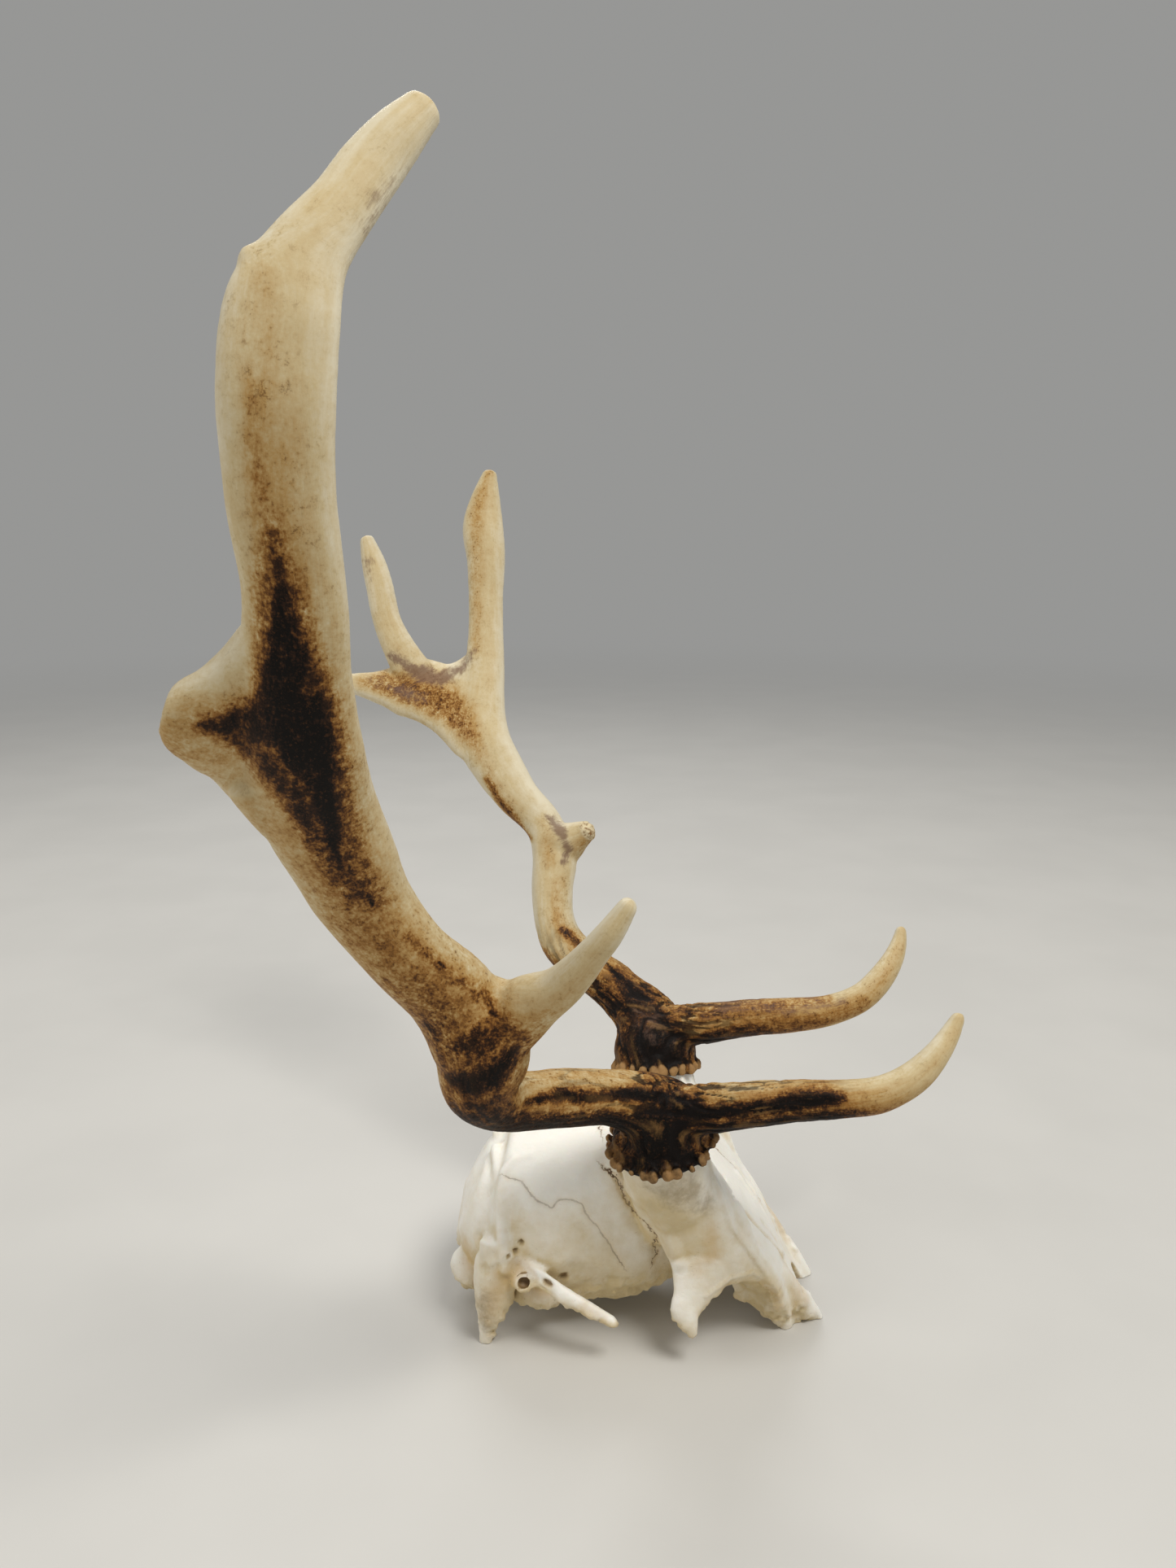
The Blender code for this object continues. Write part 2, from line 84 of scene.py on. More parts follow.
def onTop(tree, spots):
    # where places seen from straight above lie on a shape
    found = []
    for x, y, *rest in spots:
        hit = tree.ray_cast(Vector((x, y, overhead)), Vector((0, 0, -1)))[0]
        found.append((*(hit or (x, y, 0.0)), *rest))
    return np.array(found)


def smoothRows(rows, step):
    # rows read from a smooth curve through the given ones, about a step apart
    rows = np.array(rows, float)
    gaps = np.linalg.norm(np.diff(rows[:, :3], axis=0), axis=1)
    along = np.concatenate([[0.0], np.cumsum(gaps)])
    slopes = np.gradient(rows, along, axis=0)
    wanted = np.linspace(0.0, along[-1], max(2, math.ceil(along[-1] / step)) + 1)
    left = np.clip(np.searchsorted(along, wanted, side="right") - 1, 0, len(gaps) - 1)
    span = gaps[left][:, None]
    t = (wanted - along[left])[:, None] / span
    fromHere = (2 * t**3 - 3 * t**2 + 1) * rows[left] + (t**3 - 2 * t**2 + t) * span * slopes[left]
    fromNext = (3 * t**2 - 2 * t**3) * rows[left + 1] + (t**3 - t**2) * span * slopes[left + 1]
    return fromHere + fromNext


def loftFrame(rows, upright):
    # the way along, the way of the width and the way of the thickness at each row; the width is
    # square to the path, or lies along upright where that is given
    along = np.gradient(rows[:, :3], axis=0)
    along /= np.linalg.norm(along, axis=1, keepdims=True)
    wide = np.tile(upright, (len(rows), 1)) if upright else np.cross(along, sideways)
    wide /= np.linalg.norm(wide, axis=1, keepdims=True)
    thick = np.cross(wide, along)
    return along, wide, thick / np.linalg.norm(thick, axis=1, keepdims=True)


def addLoft(bm, rows, upright=None, squareness=2.0, dome=0.6, step=2.5, sides=32):
    rows = smoothRows(rows, step)
    along, wide, thick = loftFrame(rows, upright)
    turns = np.linspace(0.0, 2 * math.pi, sides, endpoint=False)
    cosines = np.sign(np.cos(turns)) * np.abs(np.cos(turns)) ** (2 / squareness)
    sines = np.sign(np.sin(turns)) * np.abs(np.sin(turns)) ** (2 / squareness)
    rings = []
    for row, w, n in zip(rows, wide, thick):
        ring = [row[:3] + w * (c * row[3]) + n * (s * row[4]) for c, s in zip(cosines, sines)]
        rings.append([bm.verts.new(place) for place in ring])
    for below, above in zip(rings, rings[1:]):
        for i in range(sides):
            j = (i + 1) % sides
            bm.faces.new((below[i], below[j], above[j], above[i]))
    for end, way in ((0, -1), (-1, 1)):
        ring = rings[end]
        pole = bm.verts.new(rows[end][:3] + along[end] * (way * dome * min(rows[end][3:5])))
        for i in range(sides):
            j = (i + 1) % sides
            bm.faces.new((ring[j], ring[i], pole) if way < 0 else (ring[i], ring[j], pole))


def addBall(bm, centre, radii, axis=(0, 0, 1)):
    turn = Vector(axis).to_track_quat("Z", "Y").to_matrix().to_4x4()
    place = Matrix.Translation(Vector(centre)) @ turn @ Matrix.Diagonal((*radii, 1.0))
    bmesh.ops.create_icosphere(bm, subdivisions=3, radius=1.0, matrix=place)


def mirrored(rows):
    return [(x, -y, z, *sizes) for x, y, z, *sizes in rows]


def meshOf(name, bm, turnFaces=True):
    if turnFaces:
        bmesh.ops.recalc_face_normals(bm, faces=bm.faces)
    mesh = bpy.data.meshes.new(name)
    bm.to_mesh(mesh)
    bm.free()
    return mesh


def joinedTo(mesh, added):
    # the mesh with more closed shapes laid over it
    bm = bmesh.new()
    bm.from_mesh(mesh)
    bm.from_mesh(added)
    return meshOf(mesh.name, bm, turnFaces=False)


def withModifiers(mesh, steps):
    # the mesh after a list of modifiers, each a kind and its settings
    thing = bpy.data.objects.new(mesh.name, mesh)
    bpy.context.scene.collection.objects.link(thing)
    for kind, settings in steps:
        modifier = thing.modifiers.new(kind.lower(), kind)
        for key, value in settings.items():
            setattr(modifier, key, value)
    bpy.context.view_layer.update()
    graph = bpy.context.evaluated_depsgraph_get()
    made = bpy.data.meshes.new_from_object(thing.evaluated_get(graph))
    bpy.data.objects.remove(thing, do_unlink=True)
    made.name = mesh.name
    return made


def grownTogether(mesh, voxel):
    # overlapping closed shapes become one skin
    return withModifiers(mesh, [("REMESH", {"mode": "VOXEL", "voxel_size": voxel})])


def cutAway(mesh, cutters):
    # the mesh without what lies inside any of the closed cutters
    things = [bpy.data.objects.new(cutter.name, cutter) for cutter in cutters]
    for thing in things:
        bpy.context.scene.collection.objects.link(thing)
    cuts = [("BOOLEAN", {"operation": "DIFFERENCE", "solver": "EXACT", "object": t}) for t in things]
    made = withModifiers(mesh, cuts)
    for thing in things:
        bpy.data.objects.remove(thing, do_unlink=True)
    return made


def cutFlat(mesh, point, way):
    # takes away what lies behind a plane and closes the cut
    bm = bmesh.new()
    bm.from_mesh(mesh)
    whole = bm.verts[:] + bm.edges[:] + bm.faces[:]
    cut = bmesh.ops.bisect_plane(
        bm, geom=whole, dist=1e-4, plane_co=Vector(point), plane_no=Vector(way), clear_inner=True
    )
    rim = [rubbedAndLitEdge for rubbedAndLitEdge in cut["geom_cut"] if isinstance(rubbedAndLitEdge, bmesh.types.BMEdge)]
    bmesh.ops.holes_fill(bm, edges=rim)
    bmesh.ops.recalc_face_normals(bm, faces=bm.faces)
    bm.to_mesh(mesh)
    bm.free()


def pointsOf(mesh):
    flat = np.empty(len(mesh.vertices) * 3)
    mesh.vertices.foreach_get("co", flat)
    return flat.reshape(-1, 3)


def normalsOf(mesh):
    flat = np.empty(len(mesh.vertices) * 3)
    mesh.vertex_normals.foreach_get("vector", flat)
    return flat.reshape(-1, 3)


def movePoints(mesh, points):
    mesh.vertices.foreach_set("co", points.ravel())
    mesh.update()


def evenOut(mesh, rounds, ease=0.5, easeBack=-0.53):
    # each round draws the points together and lets them out again, so that nothing thins
    flat = np.empty(len(mesh.edges) * 2, int)
    mesh.edges.foreach_get("vertices", flat)
    edges = flat.reshape(-1, 2)
    start, end = np.concatenate([edges, edges[:, ::-1]]).T
    count = len(mesh.vertices)
    neighbours = np.bincount(start, minlength=count)[:, None]
    points = pointsOf(mesh)
    for pace in (ease, easeBack) * rounds:
        sums = [np.bincount(start, points[end, axis], count) for axis in range(3)]
        points += pace * (np.stack(sums, 1) / neighbours - points)
    movePoints(mesh, points)


def treeOf(mesh):
    mesh.calc_loop_triangles()
    faces = np.empty(len(mesh.loop_triangles) * 3, int)
    mesh.loop_triangles.foreach_get("vertices", faces)
    return BVHTree.FromPolygons(pointsOf(mesh).tolist(), faces.reshape(-1, 3).tolist())


def shelter(tree, points, normals, reach=13.0, rays=11, turn=2.4, lift=0.4):
    # how much of the room above each point is closed in by the shape itself, 0 to 1; the rays
    # start a lift above it and follow each other by a turn in radians
    turns = np.arange(rays) * turn
    heights = (np.arange(rays) + 0.5) / rays
    spread = np.sqrt(1 - heights**2)
    around = np.stack([spread * np.cos(turns), spread * np.sin(turns), heights], 1)
    slant = (0.36, 0.48, 0.8)  # a way that hardly any point faces
    beside = np.cross(normals, slant)
    beside /= np.maximum(np.linalg.norm(beside, axis=1, keepdims=True), 1e-6)
    third = np.cross(normals, beside)
    closed = np.zeros(len(points))
    for x, y, z in around:
        ways = beside * x + third * y + normals * z
        starts = points + normals * lift
        hits = [tree.ray_cast(a, b, reach)[3] for a, b in zip(starts.tolist(), ways.tolist())]
        closed += [0.0 if hit is None else (1 - hit / reach) for hit in hits]
    return closed / rays


def store(mesh, name, values):
    # one number or one vector for each point, which the finish reads
    vector = values.ndim == 2
    attribute = mesh.attributes.new(name, "FLOAT_VECTOR" if vector else "FLOAT", "POINT")
    attribute.data.foreach_set("vector" if vector else "value", values.astype(np.float32).ravel())


def smoothStep(values, low, high):
    t = np.clip((values - low) / (high - low), 0.0, 1.0)
    return t * t * (3 - 2 * t)


def fadeOut(values, near, far):
    # 1 below near, 0 beyond far, smooth between
    return smoothStep(-values, -far, -near)


noiseTables = {}
noiseCells = 32
octaveShift = 7.3  # so that the octaves don't line up


def noiseAt(points, size, seed, octaves=1):
    # smooth noise, mostly between -1 and 1; size is in mm, one number or three
    if seed not in noiseTables:
        noiseTables[seed] = np.random.default_rng(seed).uniform(-1, 1, [noiseCells] * 3)
    table = noiseTables[seed]
    total = np.zeros(len(points))
    for octave in range(octaves):
        place = points / np.array(size) * 2**octave + octaveShift * octave
        cell = np.floor(place).astype(int)
        t = place - cell
        t = t * t * (3 - 2 * t)
        for corner in np.ndindex(2, 2, 2):
            weight = np.prod(np.where(np.array(corner), t, 1 - t), axis=1)
            x, y, z = ((cell + corner) % noiseCells).T
            total += weight * table[x, y, z] / 2**octave
    return total


def unevenness(points, noises):
    # several noises together, each a height in mm and then size, seed and octaves
    return sum(height * noiseAt(points, *noise) for height, *noise in noises)


def strokeReach(points, line, axes=(0, 1, 2)):
    # how far each point lies from a line, the line's last number there, and the nearest place
    axes = list(axes)
    flat = points[:, axes]
    best = np.full(len(points), np.inf)
    value = np.zeros(len(points))
    nearest = np.zeros((len(points), 3))
    heading = np.zeros((len(points), 3))
    for a, b in zip(line, line[1:]):
        way = (b - a)[axes]
        t = np.clip(((flat - a[axes]) @ way) / max(way @ way, 1e-9), 0, 1)
        gap = np.linalg.norm(flat - (a[axes] + t[:, None] * way), axis=1)
        closer = gap < best
        best = np.where(closer, gap, best)
        value = np.where(closer, a[-1] + t * (b[-1] - a[-1]), value)
        nearest[closer] = (a[:3] + t[:, None] * (b - a)[:3])[closer]
        heading[closer] = (b - a)[:3]
    return best, value, nearest, heading


def painted(points, lines, softness, axes=(0, 1, 2)):
    # 1 along the lines out to their half widths, fading out over the softness
    paint = np.zeros(len(points))
    for line in lines:
        gap, halfWidth = strokeReach(points, line, axes)[:2]
        paint = np.maximum(paint, smoothStep(halfWidth - gap, -softness / 2, softness / 2))
    return paint


def dotted(points, spots, low, high):
    # 1 well inside the spots, each a place and its reach; low and high are mm inside the edge
    paint = np.zeros(len(points))
    for x, y, z, reach in spots:
        inside = reach - np.linalg.norm(points - (x, y, z), axis=1)
        paint = np.maximum(paint, smoothStep(inside, low, high))
    return paint


def brushed(points, tree, strokes):
    # strokes seen from the side, so that both faces of the horn carry them
    paint = np.zeros(len(points))
    for strength, softness, pixels in strokes:
        stroke = painted(points, [onSurface(tree, pixels)], softness, (0, 2))
        paint = np.maximum(paint, strength * stroke)
    return paint


def dress(name, mesh, material, nodes):
    # into the part's frame, with its finish, riding on the body
    movePoints(mesh, (pointsOf(mesh) - middle) * mm)
    mesh.shade_smooth()
    mesh.materials.clear()
    mesh.materials.append(material)
    piece = bpy.data.objects.new(name, mesh)
    bpy.context.scene.collection.objects.link(piece)
    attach(piece, "root")
    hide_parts(*nodes)
    print(name, "made,", len(mesh.polygons), "faces")


class Wire:
    # a socket of a shader tree; arithmetic on wires adds Math nodes
    def __init__(self, tree, socket=None):
        self.tree = tree
        self.socket = socket

    def node(self, kind, settings=None, values=None, output=0):
        # a new node: its settings first, with a colour ramp's under "stops", then its sockets
        made = self.tree.nodes.new(kind)
        for key, value in (settings or {}).items():
            if key == "stops":
                elements = made.color_ramp.elements
                elements[0].color = value[0][1]
                elements[1].color = value[-1][1]
                for position, tone in value[1:-1]:
                    elements.new(position).color = tone
            else:
                setattr(made, key, value)
        for key, value in (values or {}).items():
            if isinstance(value, Wire):
                self.tree.links.new(value.socket, made.inputs[key])
            else:
                made.inputs[key].default_value = value
        return Wire(self.tree, made.outputs[output])

    def math(self, operation, *terms):
        return self.node("ShaderNodeMath", {"operation": operation}, dict(enumerate(terms)))

    def __add__(self, other):
        return self.math("ADD", self, other)

    __radd__ = __add__

    def __sub__(self, other):
        return self.math("SUBTRACT", self, other)

    def __rsub__(self, other):
        return self.math("SUBTRACT", other, self)

    def __mul__(self, other):
        return self.math("MULTIPLY", self, other)

    __rmul__ = __mul__

    def __neg__(self):
        return self.math("MULTIPLY", self, -1.0)

    def __abs__(self):
        return self.math("ABSOLUTE", self)

    def ramp(self, low, high):
        # 0 below low, 1 above high, smooth between
        values = {"Value": self, "From Min": low, "From Max": high}
        return self.node("ShaderNodeMapRange", {"interpolation_type": "SMOOTHSTEP"}, values)

    def attribute(self, name, output="Fac"):
        return self.node("ShaderNodeAttribute", {"attribute_name": name}, output=output)

    def parts(self, name):
        # the three numbers of a vector stored on the mesh
        vector = self.attribute(name, "Vector")
        return [self.node("ShaderNodeSeparateXYZ", None, {0: vector}, output=i) for i in range(3)]

    def noise(self, place, scale, detail, roughness, stretch=(1, 1, 1)):
        # stretch is the size along each axis, so a larger one draws the pattern out
        spread = tuple(1 / s for s in stretch)
        moved = self.node("ShaderNodeVectorMath", {"operation": "MULTIPLY"}, {0: place, 1: spread})
        values = {"Vector": moved, "Scale": scale, "Detail": detail, "Roughness": roughness}
        return self.node("ShaderNodeTexNoise", None, values)

    def ripple(self, place, scale, detail, roughness, stretch=(1, 1, 1)):
        # the same noise round 0, mostly between -1 and 1
        return (self.noise(place, scale, detail, roughness, stretch) - 0.5) * 4

    def bump(self, depth, strength=0.55):
        # this wire as a height, its depth in metres
        values = {"Strength": strength, "Distance": depth, "Height": self}
        return self.node("ShaderNodeBump", None, values)

    def mix(self, below, above):
        # one colour laid over another, this wire being how much of it
        values = {0: self, 6: below, 7: above}
        settings = {"data_type": "RGBA", "clamp_factor": True}
        return self.node("ShaderNodeMix", settings, values, output=2)


def colour(red, green, blue):
    # a colour as it looks on a screen, 0 to 255, as the linear one that a shader takes
    def linear(part):
        part /= 255
        return part / 12.92 if part <= 0.04045 else ((part + 0.055) / 1.055) ** 2.4

    return (linear(red), linear(green), linear(blue), 1.0)


def newMaterial(name, constants):
    # a material, the wires of its tree, and its shader with the constants on its sockets
    material = bpy.data.materials.new(name)
    material.use_nodes = True
    tree = material.node_tree
    shader = tree.nodes["Principled BSDF"]
    for socket, value in constants.items():
        shader.inputs[socket].default_value = value
    return material, Wire(tree), shader


def plug(wire, shader, socket):
    wire.tree.links.new(wire.socket, shader.inputs[socket])


antlerFinish = {
    # from rubbed horn through gold and brown to the blackest stain and painted shade
    "depths": [
        (0.0, colour(216, 206, 180)),
        (0.14, colour(200, 181, 140)),
        (0.32, colour(180, 146, 92)),
        (0.48, colour(150, 106, 52)),
        (0.64, colour(104, 66, 30)),
        (0.8, colour(50, 30, 17)),
        (1.0, colour(10, 6, 4)),
    ],
    "brown": colour(74, 45, 24),
    "plum": colour(118, 92, 78),
    "crest": colour(164, 122, 70),
    "groove": colour(16, 11, 9),
    "pearl": colour(168, 130, 84),
    "spongePale": colour(214, 198, 162),
    "spongeDark": colour(136, 104, 68),
    # noises: scale, detail, roughness and stretch
    "streak": (3.0, 5.0, 0.6, (1, 1, 7)),
    "fibre": (11.0, 4.0, 0.7, (1, 1, 5)),
    "cloud": (55.0, 4.0, 0.6),
    "mottle": (230.0, 4.0, 0.65),
    "grit": (900.0, 2.0, 0.6),
    "hairs": (7.0, 3.0, 0.6, (1, 1, 3)),
    "curls": (330.0, 2.0, 0.5),
    "sponge": (520.0, 3.0, 0.6),
    "roughness": 0.46,
    "bumpDepth": 0.0012,  # m
    "constants": {"Specular IOR Level": 0.12},
}


def antlerMaterial():
    material, nodes, shader = newMaterial("antler", antlerFinish["constants"])
    tones = antlerFinish
    place = nodes.node("ShaderNodeTexCoord", output="Object")
    grain = nodes.attribute("grain", "Vector")
    stainAndShade, gold, plum = nodes.parts("tint")
    warm, rubbedAndLitPale, bark = nodes.parts("look")
    relief, pearl, raw = nodes.parts("form")

    streak, fibre = [nodes.ripple(grain, *tones[key]) for key in ("streak", "fibre")]
    cloud, mottle, grit = [nodes.ripple(place, *tones[key]) for key in ("cloud", "mottle", "grit")]
    rough = bark.ramp(0.1, 0.9)

    # how deep the colour goes: pale along the edges, partly rubbed horn and partly a painted rim highlight,
    # golden in the middle of the beam
    depth = warm * 0.3 - rubbedAndLitPale * 0.15 + gold * 0.14 + 0.03
    depth = depth + streak * (bark * 0.2 + 0.045) + cloud * 0.045
    depth = depth + mottle * (gold * 0.07 + warm * 0.03 + 0.02)
    depth = depth + (fibre + grit) * (gold * 0.05 + warm * 0.035)
    # the stain, with the painted shade on the undersides, thins here and there, and frays into specks along
    # its edge
    thin = (cloud + streak * 0.7).ramp(0.25, 1.3) * 0.34
    fray = (fibre * 0.12 + mottle * 0.16 + grit * 0.13) * stainAndShade.ramp(0.02, 0.3)
    depth = depth + stainAndShade * (0.86 - thin) + fray
    base = nodes.node("ShaderNodeValToRGB", {"stops": tones["depths"]}, {0: depth})
    plummy = plum * 1.2 - 0.25 + cloud * 0.35 + mottle * 0.3 + fibre * 0.35 + streak * 0.2
    base = (plummy.ramp(0.0, 0.8) * 0.8 * plum.ramp(0.0, 0.2)).mix(base, tones["plum"])

    # fine dark specks and hairs
    specks = grit.ramp(0.25, 0.6) * mottle.ramp(-0.3, 0.6) * (gold * 0.9 + warm * 0.5 - rubbedAndLitPale * 0.2)
    base = (specks * 0.7).mix(base, tones["brown"])
    hairs = 1 - abs(nodes.ripple(grain, *tones["hairs"])).ramp(0.0, 0.07)
    hairs = hairs * mottle.ramp(0.0, 0.8) * (warm * 0.45 + gold * 0.4 + 0.14)
    curls = 1 - abs(nodes.ripple(place, *tones["curls"])).ramp(0.0, 0.07)
    curls = curls * (cloud + mottle).ramp(0.1, 0.9) * (gold * 0.8 + warm * 0.25)
    base = (hairs * 0.7 + curls * 0.6).mix(base, tones["brown"])

    # rough horn: black in the grooves, tan on the crests
    hollow = fibre * 0.22 + mottle * 0.12 - relief * 0.9
    base = (hollow.ramp(0.02, 0.5) * rough * 0.9).mix(base, tones["groove"])
    crest = relief * 0.9 + fibre * 0.2 + mottle * 0.14
    base = (crest.ramp(0.12, 0.6) * rough * (0.7 - stainAndShade * 0.4)).mix(base, tones["crest"])
    base = ((pearl + mottle * 0.3 + grit * 0.1).ramp(0.2, 1.1) * 0.85).mix(base, tones["pearl"])

    # broken horn shows its pale sponge with darker pits
    sponge = nodes.noise(place, *tones["sponge"])
    core = sponge.ramp(0.36, 0.56).mix(tones["spongeDark"], tones["spongePale"])
    base = raw.ramp(0.3, 0.7).mix(base, core)
    plug(base, shader, "Base Color")

    plug(tones["roughness"] + bark * 0.1 + mottle * 0.04 + raw * 0.3, shader, "Roughness")
    height = fibre * 0.2 + mottle * 0.1 + grit * 0.05
    height = height * (rough * 0.9 + 0.25) + sponge * raw * 0.6
    plug(height.bump(tones["bumpDepth"]), shader, "Normal")
    return material


